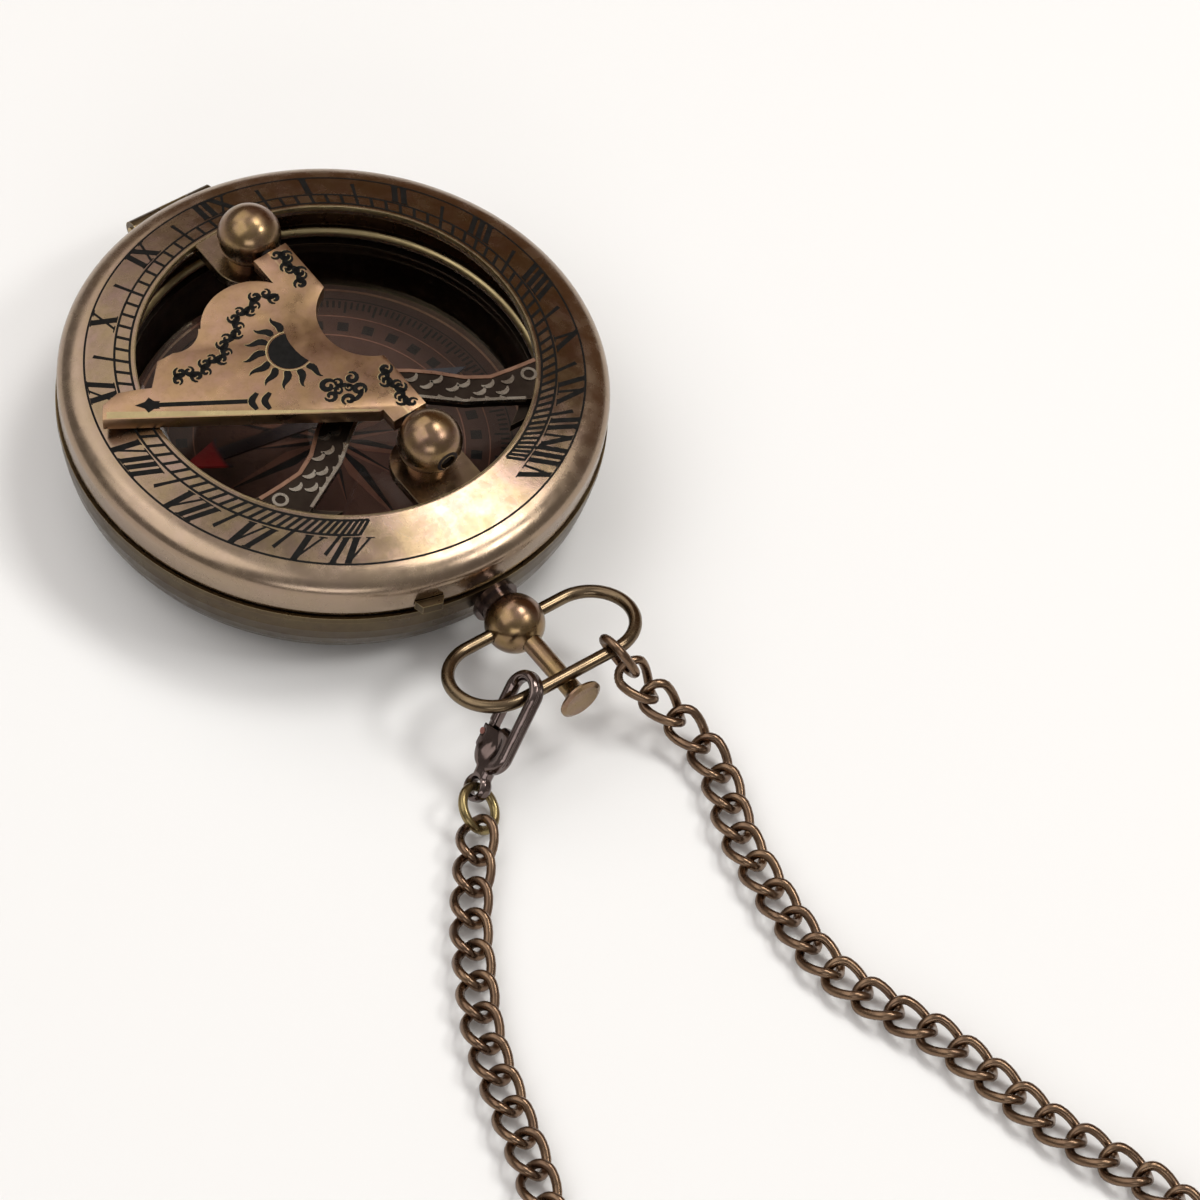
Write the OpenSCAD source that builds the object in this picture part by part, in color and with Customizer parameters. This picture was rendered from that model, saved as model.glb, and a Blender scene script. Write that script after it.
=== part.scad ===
// Pocket sundial compass: a hinged dial lid over a compass, with bow, clasp and chain.
// The origin is the middle of the flat base; +Y is the noon side, -Y the pendant side.

/* [Case] */
// Outer radius of the case wall
case_r = 32.4; // [31:0.1:40]
// Radius of the flat base that the case rests on
base_r = 24; // [18:0.5:28]
// Height of the seam between case and lid
case_h = 11.5; // [11:0.1:14]
// Wall of the case cup
case_wall = 1.2; // [0.8:0.1:1.8]
// Thickness of the case floor
case_floor = 1.5; // [1:0.1:2]
// Height of the bright lip at the seam
lip_h = 1; // [0.5:0.1:1.5]
// How far the lip stands proud of the wall
lip_proud = 0.2; // [0.1:0.05:0.5]

/* [Lid] */
// How far the lid's widest radius stands past the case wall
lid_over = 0.1; // [0:0.05:0.15]
// Radius of the window
window_r = 23.4; // [22:0.1:25]
// Height of the lid's inner edge above the seam
lid_rise = 7.7; // [7:0.1:10]
// Thickness of the lid's metal
lid_wall = 1.2; // [0.8:0.1:1.6]
// Gap at the seam when the lid is shut
seam_gap = 0.2; // [0.1:0.05:0.5]
// Width of the two lugs that carry the ball posts
lug_w = 8.8; // [6:0.1:10]
// Thickness of the bracket across the window
bracket_t = 1.2; // [0.8:0.1:1.5]

/* [Gnomon] */
// Distance of each ball post inside the window's edge
post_inset = 5; // [4.6:0.1:5.4]
// Diameter of the ball of a post
ball_d = 7.6; // [7:0.1:8]
// Thickness of the gnomon plate
plate_t = 1.9; // [1:0.1:2.2]
// Angle between the style edge and the hinge axis
style_angle = 56; // [50:0.5:60]
// Length of the style edge
style_len = 31.9; // [28:0.1:33]
// Diameter of the pivot pins
pivot_d = 1.8; // [1.2:0.1:2]

/* [Dial and needle] */
// How far the wall round the dial stands outside the window's edge
chamber_gap = 1; // [0.6:0.1:1.4]
// Thickness of the wall round the dial
chamber_wall = 1; // [0.6:0.1:1.5]
// Thickness of the dial plate
dial_t = 1.8; // [1:0.1:2.4]
// Thickness of the printed card
card_t = 0.25; // [0.1:0.05:0.5]
// Depth of the glass's underside below the seam
glass_drop = 0.6; // [0.6:0.1:1]
// Thickness of the glass
glass_t = 1; // [0.8:0.1:1.2]
// Half length of the needle
needle_r = 19.5; // [15:0.5:22]
// Height of the needle above the base
needle_z = 7.9; // [7.5:0.1:8.5]
// Angle of the needle's red end, from +X
needle_angle = 172; // [0:1:359]

/* [Pendant and bow] */
// Distance of the pendant ball's centre outside the case wall
pendant_reach = 4.6; // [4.4:0.1:6]
// Depth of the pendant ball's centre below the seam
pendant_drop = 2.5; // [2.5:0.1:3.5]
// Diameter of the pendant ball
pendant_d = 7.1; // [6.8:0.1:8]
// Diameter of the button's stem
stem_d = 2.4; // [2.2:0.1:2.8]
// Diameter of the button's flared head
button_d = 5.4; // [4:0.1:7]
// Travel of the button
button_travel = 0.8; // [0.4:0.1:0.9]
// Diameter of the bow's wire
bow_wire = 1.56; // [1.2:0.02:1.6]
// Width of the bow between the middles of its sides
bow_w = 24.2; // [22:0.1:28]
// Distance of the bow's far bar from its pivot
bow_reach = 10.6; // [10.4:0.1:11.5]

/* [Chain and clasp] */
// Wire of a chain link
link_wire = 1.1; // [0.8:0.05:1.1]
// Outer length of a chain link
link_len = 6.7; // [6.5:0.05:6.9]
// Outer width of a chain link
link_w = 5; // [4.8:0.05:5.4]
// Thickness of the clasp
clasp_t = 2; // [1.5:0.1:2.2]
// Mean radius of the jump ring
ring_r = 2.6; // [2.4:0.05:2.8]

/* [Hidden] */
$fn = 96;

// Clearances
running = 0.05;
seat = 0.02;
play = 0.1;
rest_gap = 0.15;

// Case
side_h = case_h - lip_h;
lip_r = case_r + lip_proud;
ledge_z = case_h - 0.7;
ledge_r = lip_r - 0.7;
arc_step = 10;

// Lid: the rolled edge is part of an ellipse, the top a shallow cone up to the window
lid_r = case_r + lid_over;
lid_z = case_h + seam_gap;
lid_top = case_h + lid_rise;
roll_w = 3.9;
roll_h = 2.62;
roll_z = case_h + 3.5;
roll_end = 76;
inner_lid_r = lid_r - lid_wall;
keeper_depth = 0.5;
keeper_z = lid_z + 0.05;
keeper_h = 0.45;

// Posts and gnomon
post_y = window_r - post_inset;
lug_top = lid_top - 0.1;
lug_t = 1.3;
ball_r = ball_d / 2;
axis_z = lug_top + ball_r;
foot_r = 2.4;
foot_h = 1.6;
rivet_r = 1.2;
pivot_r = pivot_d / 2;
pivot_grip = 4;
arm_end = post_y - ball_r - 0.3;
arm_in = 2.4;
arm_out = 2.1;
style_foot = [2.56, -12.2];
style_tip = style_foot + style_len * [sin(style_angle), cos(style_angle)];
lobe_c = [7.2, 6.6];
lobe_r = 6.3;
bay_c = [15.6, 11.4];
bay_r = 3.1;
nape_c = [-5.2, 0.2];
nape_r = 6.7;
bracket_upper = [[0, -2.5], [6.1, -6], [8.4, -7.8], [11, -10.3], [13.6, -11.8], [16.5, -12.2]];
bracket_lower = [[15.3, -17], [11.5, -14.9], [8.9, -13.5], [5, -10.3], [0, -6.5]];
bracket_heel = [window_r - 1.4, -12.5];
bracket_toe = [window_r - 4.4, -19.6];
tab_y = -18.5;
tab_w = 5.5;
tab_lip = 1.4;
fold_angle = asin((axis_z - plate_t / 2 - rest_gap - lid_top) / window_r);

// Dial, glass and needle
chamber_r = window_r + chamber_gap;
glass_z = case_h - glass_drop;
dial_z = case_floor + dial_t;
card_z = dial_z + card_t;
wall_out = chamber_r + chamber_wall;
bead_r = 0.8;
bead_c = [chamber_r + 0.9, glass_z + glass_t + bead_r];
needle_t = 0.35;
needle_bar_w = 1.7;
needle_root = [3, 1.9];
needle_head = 4.8;
north_head_w = 4.6;
south_head_w = 3.6;
cap_z = needle_z + needle_t;

// Hinge
knuckle_r = 1.3;
knuckle_len = 3.8;
hinge_pin_r = 0.6;
hinge_y = lip_r + knuckle_r + 0.3;
leaf_h = 1.9;

// Pendant, button and catch
pendant_y = case_r + pendant_reach;
pendant_z = case_h - pendant_drop;
rod_r = 0.75;
stem_r = stem_d / 2;
neck_r = 2.3;
collar_r = 2.9;
spigot_r = 1.6;
counterbore_depth = 5.6;
stem_inner_y = pendant_y + 1.1;
flare_y = pendant_y + 11.3;
flare_len = 1.4;
catch_y = inner_lid_r - 2.85;
catch_w = 2.4;
hook_z = keeper_z + keeper_h + 0.15;
hook_t = 0.6;

// Bow
bow_wire_r = bow_wire / 2;
bow_hole_r = bow_wire_r + running;
bow_bend = bow_reach / 2;
bow_rest = asin((stem_r + bow_wire_r + play) / bow_reach);
bow_pin = 1.2;
bar_y = -pendant_y - bow_reach * cos(bow_rest);
bar_z = pendant_z + bow_reach * sin(bow_rest);

// Clasp: it hangs on the bow's bar and leans towards the left run of the chain
clasp_at = [-7, bar_y, bar_z];
clasp_turn = [210.3, 44.4, -157.8];
eye_r = 1.4;
eye_top = 0.9;
eye_len = 4.4;
body_w = 5.4;
belly_y = -6.6;
gate_top = -1.6;
cheek_top = -4.2;
slot_in = 0.3;
slot_end = -6.8;
tail_y = -11.2;
tail_r = 1.75;
tail_hole_r = 0.95;
lever_pivot = [2.35, -5.2];
lever_r = 0.85;
lever_pin_r = 0.4;
lever_core_t = 1.2;

// Jump ring: it hangs in the clasp's tail and leans on its side
jump_at = [-15.67, -52.57, 2.6];
jump_turn = [0, 42.3, -48.2];

// Chain route on the surface, from the bow round to the clasp
floor_z = 1.85;
route = [
  [6.8, -48, 10.2], [8.3, -50.5, 6.9], [9.9, -53.6, 4.7], [11, -57.2, 3],
  [11.1, -61.4, 2.1], [9.7, -66, floor_z], [7.6, -71, floor_z], [6.4, -77, floor_z],
  [5.4, -84, floor_z], [5.2, -91, floor_z], [7, -98, floor_z], [9.8, -105, floor_z],
  [11.4, -112, floor_z], [13, -120, floor_z], [15.6, -127.5, floor_z], [18.2, -134.5, floor_z],
  [18.6, -142, floor_z], [14, -149, floor_z], [5, -152, floor_z], [-5, -151, floor_z],
  [-12, -145, floor_z], [-15, -137, floor_z], [-19, -129.5, floor_z], [-26, -128, floor_z],
  [-33, -132, floor_z], [-41, -133, floor_z], [-47.5, -128, floor_z], [-50.5, -119.5, floor_z],
  [-47.5, -110.5, floor_z], [-42, -103, floor_z], [-38.5, -95, floor_z], [-36, -87, floor_z],
  [-33, -78, floor_z], [-29, -70.5, floor_z], [-24.6, -63.5, floor_z], [-18.2, -55.75, 2.2]
];
route_steps = 8;
link_lean = 40;

function spline(p, q, r, s, t) =
  0.5 * (2 * q + (r - p) * t + (2 * p - 5 * q + 4 * r - s) * t * t
    + (3 * q - p - 3 * r + s) * t * t * t);
last = len(route) - 1;
function held(i) = route[max(0, min(last, i))];
dense = [
  for (i = [0:last - 1], k = [0:route_steps - 1])
    spline(held(i - 1), held(i), held(i + 1), held(i + 2), k / route_steps),
  route[last]
];
function run_to(i) = i == 0 ? 0 : run_to(i - 1) + norm(dense[i] - dense[i - 1]);
runs = [for (i = [0:len(dense) - 1]) run_to(i)];
route_len = runs[len(runs) - 1];
function along(s) = [
  for (axis = [0:2]) lookup(s, [for (i = [0:len(dense) - 1]) [runs[i], dense[i][axis]]])
];
link_play = 0.3;
wanted_pitch = link_len - 2 * link_wire - link_play;
link_count = 2 * round(route_len / wanted_pitch / 2) + 1;
pitch = route_len / (link_count - 1);
right_links = 22;
far_links = 33;
echo(route_len = route_len, link_count = link_count, pitch = pitch);

// Shared shapes
module wedge_arc(r, w, z0, h, angle) {
  rotate([0, 0, -90 - angle / 2])
    rotate_extrude(angle = angle) translate([r, z0]) square([w, h]);
}

module tube(r_out, r_in, z0, h) {
  difference() {
    translate([0, 0, z0]) cylinder(h = h, r = r_out);
    translate([0, 0, z0 - 1]) cylinder(h = h + 2, r = r_in);
  }
}

// A rod along -Y from y0 to y1 at the pendant's height
module pendant_rod(y0, y1, r) {
  translate([0, -y0, pendant_z]) rotate([90, 0, 0]) cylinder(h = y1 - y0, r = r);
}

module along_x(x0, x1, y, z, r) {
  translate([x0, y, z]) rotate([0, 90, 0]) cylinder(h = x1 - x0, r = r);
}

// A round wire coil about Z, from z = 0 to z = length
module wire_coil(coil_r, wire_r, length, turns) {
  steps = 8 * turns;
  sides = 6;
  rise = (length - 2 * wire_r) / steps;
  points = [
    for (i = [0:steps], k = [0:sides - 1])
      let (turn = 45 * i, side = 360 * k / sides, r = coil_r + wire_r * cos(side))
        [r * cos(turn), r * sin(turn), wire_r + rise * i + wire_r * sin(side)]
  ];
  faces = [
    [for (k = [sides - 1:-1:0]) k],
    [for (k = [0:sides - 1]) steps * sides + k],
    for (i = [0:steps - 1], k = [0:sides - 1])
      let (a = i * sides + k, b = i * sides + (k + 1) % sides)
        [a, b, a + sides],
    for (i = [0:steps - 1], k = [0:sides - 1])
      let (a = i * sides + k, b = i * sides + (k + 1) % sides)
        [b, b + sides, a + sides]
  ];
  polyhedron(points, faces);
}

// Case
function case_side(a) = [base_r + (case_r - base_r) * sin(a), side_h * (1 - cos(a))];

module case_blank() {
  rotate_extrude() polygon([
    [0, 0],
    for (a = [0:arc_step:90]) case_side(a),
    [lip_r, side_h + lip_proud],
    [lip_r, case_h],
    [0, case_h]
  ]);
}

module case_cup() {
  bottom_r = wall_out + 0.6;
  inner_r = case_r - case_wall;
  color("#4a3820") difference() {
    case_blank();
    rotate_extrude() polygon([
      [0, case_floor],
      for (a = [0:arc_step:90])
        [bottom_r + (inner_r - bottom_r) * sin(a),
          case_floor + (side_h - case_floor) * (1 - cos(a))],
      [inner_r, ledge_z],
      [ledge_r, ledge_z],
      [ledge_r, case_h + 1],
      [0, case_h + 1]
    ]);
    pendant_rod(wall_out + 1, case_r + 2, spigot_r + seat);
  }
}

module inner_wall() {
  color("#2c2118") tube(wall_out, chamber_r, case_floor, glass_z - case_floor);
}

module dial_plate() {
  color("#8a6a3a") tube(chamber_r - play, rivet_r / 2 + seat, case_floor, dial_t);
}

module dial_card() {
  color("#462219") tube(chamber_r - 2 * play, 1, dial_z, card_t);
}

module needle_pivot() {
  shaft_r = 0.5;
  shaft_top = needle_z - 0.4;
  color("#b0925a") {
    translate([0, 0, case_floor + 0.1]) cylinder(h = dial_t, r = rivet_r / 2);
    translate([0, 0, dial_z]) cylinder(h = card_t + 0.6, r = 0.9);
    translate([0, 0, dial_z]) cylinder(h = shaft_top - dial_z, r = shaft_r);
    translate([0, 0, shaft_top]) cylinder(h = 1.3, r1 = shaft_r, r2 = 0.06);
  }
}

// One half of the needle: a slim bar with an arrow head, pointing along +X
module needle_half(head_w, tip_r) {
  neck = tip_r - needle_head;
  upper = [
    [0, needle_root[1]], [needle_root[0], needle_bar_w / 2], [neck, needle_bar_w / 2],
    [neck - 0.6, head_w / 2]
  ];
  lower = [for (i = [len(upper) - 1:-1:0]) [upper[i].x, -upper[i].y]];
  translate([0, 0, needle_z]) difference() {
    linear_extrude(needle_t) polygon([each upper, [tip_r, 0], each lower]);
    translate([0, 0, -1]) cylinder(h = 3, r = 1.05);
  }
}

module needle_north() {
  color("#a01818") rotate([0, 0, needle_angle]) needle_half(north_head_w, needle_r);
}

module needle_south() {
  color("#23252c") rotate([0, 0, needle_angle + 180]) needle_half(south_head_w, needle_r - 1.5);
}

module needle_cap() {
  cup_r = 0.62;
  color("#c8a860") difference() {
    union() {
      translate([0, 0, needle_z - 0.1]) cylinder(h = 0.45, r = 1.03);
      translate([0, 0, cap_z]) cylinder(h = 0.5, r = 1.8);
      translate([0, 0, cap_z + 0.5]) cylinder(h = 0.6, r1 = 1.3, r2 = 0.7);
    }
    translate([0, 0, needle_z - 0.4 + play]) cylinder(h = 1.3, r1 = cup_r, r2 = 0.17);
    translate([0, 0, needle_z - 1]) cylinder(h = 0.6 + play + 0.001, r = cup_r);
  }
}

module glass() {
  color([0.8, 0.9, 0.9, 0.35]) translate([0, 0, glass_z]) cylinder(h = glass_t, r = wall_out);
}

module bezel_ring() {
  collar_in = wall_out + play;
  collar_w = bead_c[0] + bead_r - collar_in;
  color("#8c6a50") difference() {
    rotate_extrude() union() {
      translate([collar_in, ledge_z]) square([ledge_r - running - collar_in, 0.6]);
      translate([collar_in, ledge_z]) square([collar_w, bead_c[1] - ledge_z]);
      translate(bead_c) circle(r = bead_r);
    }
    translate([-catch_w / 2 - 0.4, -catch_y - 1.4, ledge_z - 1])
      cube([catch_w + 0.8, 2 + button_travel, 3]);
  }
}

// Hinge of the lid
module case_knuckles() {
  color("#6b5430") difference() {
    for (side = [0, 1]) mirror([side, 0, 0]) {
      along_x(knuckle_len / 2 + play, 1.5 * knuckle_len, hinge_y, case_h, knuckle_r);
      translate([knuckle_len / 2 + play, case_r - 1, case_h - leaf_h])
        cube([knuckle_len - play, hinge_y - case_r + 1, leaf_h - running]);
    }
    along_x(-10, 10, hinge_y, case_h, hinge_pin_r + seat);
    case_blank();
  }
}

module hinge_pin() {
  color("#a08a60") along_x(-1.5 * knuckle_len - 0.2, 1.5 * knuckle_len + 0.2,
    hinge_y, case_h, hinge_pin_r);
}

module lid_knuckle() {
  color("#6b5430") difference() {
    union() {
      along_x(-knuckle_len / 2, knuckle_len / 2, hinge_y, case_h, knuckle_r);
      translate([-knuckle_len / 2, lid_r - 1, lid_z + running])
        cube([knuckle_len, hinge_y - lid_r + 1, leaf_h]);
    }
    along_x(-10, 10, hinge_y, case_h, hinge_pin_r + running);
    lid_blank();
  }
}

// Lid
function lid_side(a) = [lid_r - roll_w + roll_w * cos(a), roll_z + roll_h * sin(a)];

module lid_blank() {
  rotate_extrude() polygon([
    [0, lid_z],
    [lid_r - 0.3, lid_z],
    for (a = [0:roll_end / 8:roll_end]) lid_side(a),
    [window_r, lid_top],
    [0, lid_top]
  ]);
}

module lid_ring() {
  color("#8f7350") difference() {
    union() {
      difference() {
        lid_blank();
        rotate_extrude() polygon([
          [0, lid_z - 1],
          [inner_lid_r, lid_z - 1],
          [inner_lid_r, roll_z - 0.2],
          [inner_lid_r - 0.8, roll_z + 0.6],
          [inner_lid_r - 2.5, roll_z + 1.4],
          [window_r, lid_top - 1.3],
          [window_r, lid_top + 1],
          [0, lid_top + 1]
        ]);
      }
      for (side = [0, 1]) mirror([0, side, 0]) {
        translate([0, post_y, lug_top - lug_t]) cylinder(h = lug_t, d = lug_w);
        translate([-lug_w / 2, post_y, lug_top - lug_t])
          cube([lug_w, window_r - post_y + 0.6, lug_t]);
      }
    }
    for (side = [-1, 1])
      translate([0, side * post_y, lug_top - 5]) cylinder(h = 10, r = rivet_r + seat);
  }
}

module lid_keeper() {
  color("#8f7350")
    wedge_arc(inner_lid_r - keeper_depth, keeper_depth - seat, keeper_z, keeper_h, 12);
}

module thumb_nib() {
  nib_angle = 15;
  nib_reach = 1.1;
  root_y = -lid_r - seat;
  color("#a88a5c") rotate([0, 0, -nib_angle]) translate([0, 0, lid_z + 0.6]) linear_extrude(1.2)
    polygon([[-1.8, root_y], [1.8, root_y], [1.2, root_y - nib_reach], [-1.2, root_y - nib_reach]]);
}

module bracket() {
  foot_top = lid_top - bracket_t;
  fit_r = window_r - seat;
  color("#3a3026") {
    intersection() {
      translate([0, 0, foot_top]) linear_extrude(bracket_t) for (side = [0, 1]) mirror([side, 0])
        polygon([each bracket_upper, bracket_heel, bracket_toe, each bracket_lower]);
      cylinder(h = 2 * lid_top, r = fit_r);
    }
    for (side = [0, 1]) mirror([side, 0, 0]) intersection() {
      rotate_extrude() polygon([
        [window_r - tab_lip, foot_top - 1.1], [window_r + tab_lip, foot_top - 1.1],
        [window_r + tab_lip, foot_top - 0.65], [fit_r, foot_top - 0.25],
        [fit_r, foot_top], [window_r - tab_lip, foot_top]
      ]);
      translate([window_r / 2, tab_y, 0]) cube([window_r, tab_w, 2 * lid_top]);
    }
  }
}

// Posts and gnomon
module post(side) {
  color("#7d6241") translate([0, side * post_y, 0]) difference() {
    union() {
      translate([0, 0, axis_z]) sphere(r = ball_r);
      translate([0, 0, lug_top]) cylinder(h = foot_h, r = foot_r);
      translate([0, 0, lug_top - lug_t]) cylinder(h = lug_t, r = rivet_r);
    }
    translate([0, ball_d, axis_z]) rotate([90, 0, 0]) cylinder(h = 2 * ball_d, r = pivot_r + running);
  }
}

module north_post() {
  post(1);
}

module south_post() {
  post(-1);
}

module pivot_pin(side) {
  color("#5c4a34") mirror([0, side < 0 ? 1 : 0, 0])
    translate([0, arm_end - pivot_grip + seat, axis_z]) rotate([-90, 0, 0])
      cylinder(h = post_y + ball_r - 0.7 - arm_end + pivot_grip, r = pivot_r);
}

module north_pivot_pin() {
  pivot_pin(1);
}

module south_pivot_pin() {
  pivot_pin(-1);
}

// Outline of the gnomon: x runs from the hinge towards the tip, y along the hinge
module gnomon_outline() {
  difference() {
    union() {
      polygon([
        [-arm_in, -arm_end], [arm_out, -arm_end], [arm_out, arm_end], [-arm_in, arm_end]
      ]);
      polygon([
        [0, style_foot[1]], style_foot, style_tip, style_tip + [-1.2, 1.7],
        style_tip + [-3.5, 2.1], style_tip + [-5.6, 1.2], style_tip + [-7.1, 0.4],
        [19.3, 8.8], [16, 8.7], [13, 10], lobe_c, [0, 6]
      ]);
      translate(lobe_c) circle(r = lobe_r);
    }
    translate(bay_c) circle(r = bay_r);
    translate(nape_c) circle(r = nape_r);
  }
}

module gnomon_plate() {
  color("#97785a") difference() {
    translate([0, 0, axis_z]) rotate([0, -fold_angle, 0]) mirror([1, 0, 0])
      translate([0, 0, -plate_t / 2]) linear_extrude(plate_t) gnomon_outline();
    for (side = [0, 1]) mirror([0, side, 0])
      translate([0, arm_end - pivot_grip, axis_z]) rotate([-90, 0, 0])
        cylinder(h = post_y, r = pivot_r + seat);
  }
}

// Pendant
module pendant_neck() {
  color("#5f5345") difference() {
    union() {
      pendant_rod(case_r - case_wall - 0.6, pendant_y, spigot_r);
      pendant_rod(case_r - 0.8, pendant_y - pendant_d / 4, neck_r);
      pendant_rod(lid_r + 0.3, lid_r + 0.9, collar_r);
    }
    pendant_rod(case_r - 5, pendant_y + 5, rod_r + running);
    translate([0, -pendant_y, pendant_z]) sphere(d = pendant_d);
    difference() {
      case_blank();
      pendant_rod(wall_out, case_r + 2, spigot_r + seat);
    }
  }
}

module pendant_ball() {
  side_hole = pendant_d / 2 - bow_pin;
  color("#7d6241") difference() {
    translate([0, -pendant_y, pendant_z]) rotate([0, 0, 45]) sphere(d = pendant_d);
    pendant_rod(pendant_y - pendant_d, pendant_y + pendant_d, rod_r + running);
    pendant_rod(pendant_y + pendant_d / 2 - counterbore_depth, pendant_y + pendant_d, stem_r + running);
    along_x(side_hole, pendant_d, -pendant_y, pendant_z, bow_hole_r);
    along_x(-pendant_d, -side_hole, -pendant_y, pendant_z, bow_hole_r);
  }
}

module push_button() {
  head_r = button_d / 2;
  color("#8a6e48") {
    pendant_rod(catch_y + 0.05, stem_inner_y + 0.5, rod_r);
    pendant_rod(stem_inner_y, flare_y, stem_r);
    translate([0, -flare_y, pendant_z]) rotate([90, 0, 0]) rotate_extrude() polygon([
      [0, -0.5],
      [stem_r, -0.5],
      for (t = [0:0.2:1]) [stem_r + (head_r - stem_r) * t * t, flare_len * t],
      [head_r, flare_len + 0.25],
      [head_r - 0.5, flare_len + 0.5],
      [0, flare_len + 0.5]
    ]);
  }
}

module catch_hook() {
  block_h = 3;
  color("#9a8a60") difference() {
    union() {
      translate([-catch_w / 2, -catch_y - 0.85, pendant_z - block_h / 2])
        cube([catch_w, 1.7, block_h]);
      translate([-catch_w / 2, -catch_y - 0.85, pendant_z])
        cube([catch_w, 0.8, hook_z + hook_t - pendant_z]);
      translate([-catch_w / 2, -inner_lid_r + keeper_depth + play, hook_z])
        cube([catch_w, inner_lid_r - keeper_depth - play - catch_y, hook_t]);
    }
    pendant_rod(catch_y, catch_y + 5, rod_r + seat);
  }
}

module button_spring() {
  depth_y = pendant_y + pendant_d / 2 - counterbore_depth;
  color("#b8b8b8") translate([0, -depth_y - running, pendant_z]) rotate([90, 0, 0])
    wire_coil(1.02, 0.13, stem_inner_y - depth_y - 2 * running, 5);
}

// Bow: drawn in its own plane, then lifted to where it lies on the stem
module bow() {
  side_x = bow_w / 2 - bow_bend;
  hole_x = pendant_d / 2 - bow_pin + play;
  color("#8a6e48") translate([0, -pendant_y, pendant_z]) rotate([-bow_rest, 0, 0]) {
    along_x(-side_x, side_x, -bow_reach, 0, bow_wire_r);
    for (side = [0, 1]) mirror([side, 0, 0]) {
      along_x(hole_x, side_x, 0, 0, bow_wire_r);
      translate([side_x, -bow_bend, 0]) rotate([0, 0, -90]) rotate_extrude(angle = 180)
        translate([bow_bend, 0]) circle(r = bow_wire_r);
    }
  }
}

// Chain
module wire_link() {
  mid_r = (link_w - link_wire) / 2;
  half = (link_len - link_w) / 2;
  for (side = [0, 1]) mirror([side, 0, 0])
    translate([half, 0, 0]) rotate([0, 0, -90]) rotate_extrude(angle = 180)
      translate([mid_r, 0]) circle(d = link_wire);
  for (y = [-mid_r, mid_r]) along_x(-half, half, y, 0, link_wire / 2);
}

// Links lean left and right in turn; the first turns further to take the bow's bar
function lean(i) = i == 0 ? -60 : i % 2 == 0 ? -link_lean : link_lean;

module links(from, to) {
  color("#7c6348") for (i = [from:to]) {
    here = along(i * pitch);
    way = along((i + 0.5) * pitch) - along((i - 0.5) * pitch);
    translate(here)
      rotate([0, -atan2(way[2], norm([way[0], way[1]])), atan2(way[1], way[0])])
        rotate([lean(i), 0, 0]) wire_link();
  }
}

module first_link() {
  links(0, 0);
}

module chain_right() {
  links(1, right_links);
}

module chain_far() {
  links(right_links + 1, right_links + far_links);
}

module chain_left() {
  links(right_links + far_links + 1, link_count - 1);
}

// Clasp: drawn flat with the bar at the origin and the tail towards -Y
module place_clasp() {
  translate(clasp_at) rotate([0, clasp_turn[1], clasp_turn[2]]) rotate([clasp_turn[0], 0, 0])
    rotate([0, 0, 90]) children();
}

module slab(t) {
  translate([0, 0, -t / 2]) linear_extrude(t) children();
}

module clasp_body() {
  half_w = body_w / 2;
  color("#5b4a42") place_clasp() difference() {
    slab(clasp_t) difference() {
      union() {
        translate([0, eye_top]) circle(r = half_w);
        translate([-half_w, belly_y]) square([body_w, eye_top - belly_y]);
        translate([0, belly_y]) circle(r = half_w);
        translate([-1.1, tail_y + 1]) square([2.2, 3]);
        translate([0, tail_y]) circle(r = tail_r);
      }
      translate([0, eye_top]) circle(r = eye_r);
      translate([-eye_r, eye_top - eye_len]) square([2 * eye_r, eye_len]);
      translate([0, cheek_top]) square([body_w, gate_top - cheek_top]);
      translate([0, tail_y]) circle(r = tail_hole_r);
      translate(lever_pivot) circle(r = lever_pin_r + seat);
    }
    slab(lever_core_t + 2 * play) translate([slot_in, slot_end])
      square([body_w, gate_top - slot_end]);
  }
}

module clasp_lever() {
  gate_w = 1.1;
  gate_start = cheek_top + 0.5;
  color("#8b8078") place_clasp() {
    slab(lever_core_t) difference() {
      union() {
        translate(lever_pivot) circle(r = lever_r);
        translate(lever_pivot - [lever_r, lever_r]) square(lever_r);
        translate([lever_pivot[0] - lever_r, lever_pivot[1]])
          square([gate_w, gate_top - play - lever_pivot[1]]);
      }
      translate(lever_pivot) circle(r = lever_pin_r + running);
    }
    slab(clasp_t - 0.4) translate([lever_pivot[0] - lever_r, gate_start])
      square([gate_w, gate_top - play - gate_start]);
  }
}

module clasp_rivet() {
  color("#a08a80") place_clasp() slab(clasp_t)
    translate(lever_pivot) circle(r = lever_pin_r);
}

module clasp_spring() {
  spring_r = 0.3;
  wire = 0.09;
  room = lever_pivot[1] - lever_r - slot_end;
  color("#b8b8b8") place_clasp()
    translate([lever_pivot[0] - lever_r / 2, slot_end + seat, 0]) rotate([-90, 0, 0])
      wire_coil(spring_r, wire, room - 2 * seat, 3);
}

module jump_ring() {
  color("#8f7648") translate(jump_at) rotate(jump_turn)
    rotate_extrude() translate([ring_r, 0]) circle(d = link_wire);
}

case_cup();
inner_wall();
dial_plate();
dial_card();
needle_pivot();
needle_north();
needle_south();
needle_cap();
glass();
bezel_ring();
case_knuckles();
hinge_pin();
lid_ring();
lid_knuckle();
lid_keeper();
thumb_nib();
bracket();
north_post();
south_post();
gnomon_plate();
north_pivot_pin();
south_pivot_pin();
pendant_neck();
pendant_ball();
push_button();
catch_hook();
button_spring();
bow();
first_link();
chain_right();
chain_far();
chain_left();
jump_ring();
clasp_body();
clasp_lever();
clasp_rivet();
clasp_spring();
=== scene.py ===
"""Looks of the pocket sundial compass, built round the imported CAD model. Sizes are in millimetres."""
import math

import bmesh
import bpy
import numpy as np
from mathutils import Matrix, Vector


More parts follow.
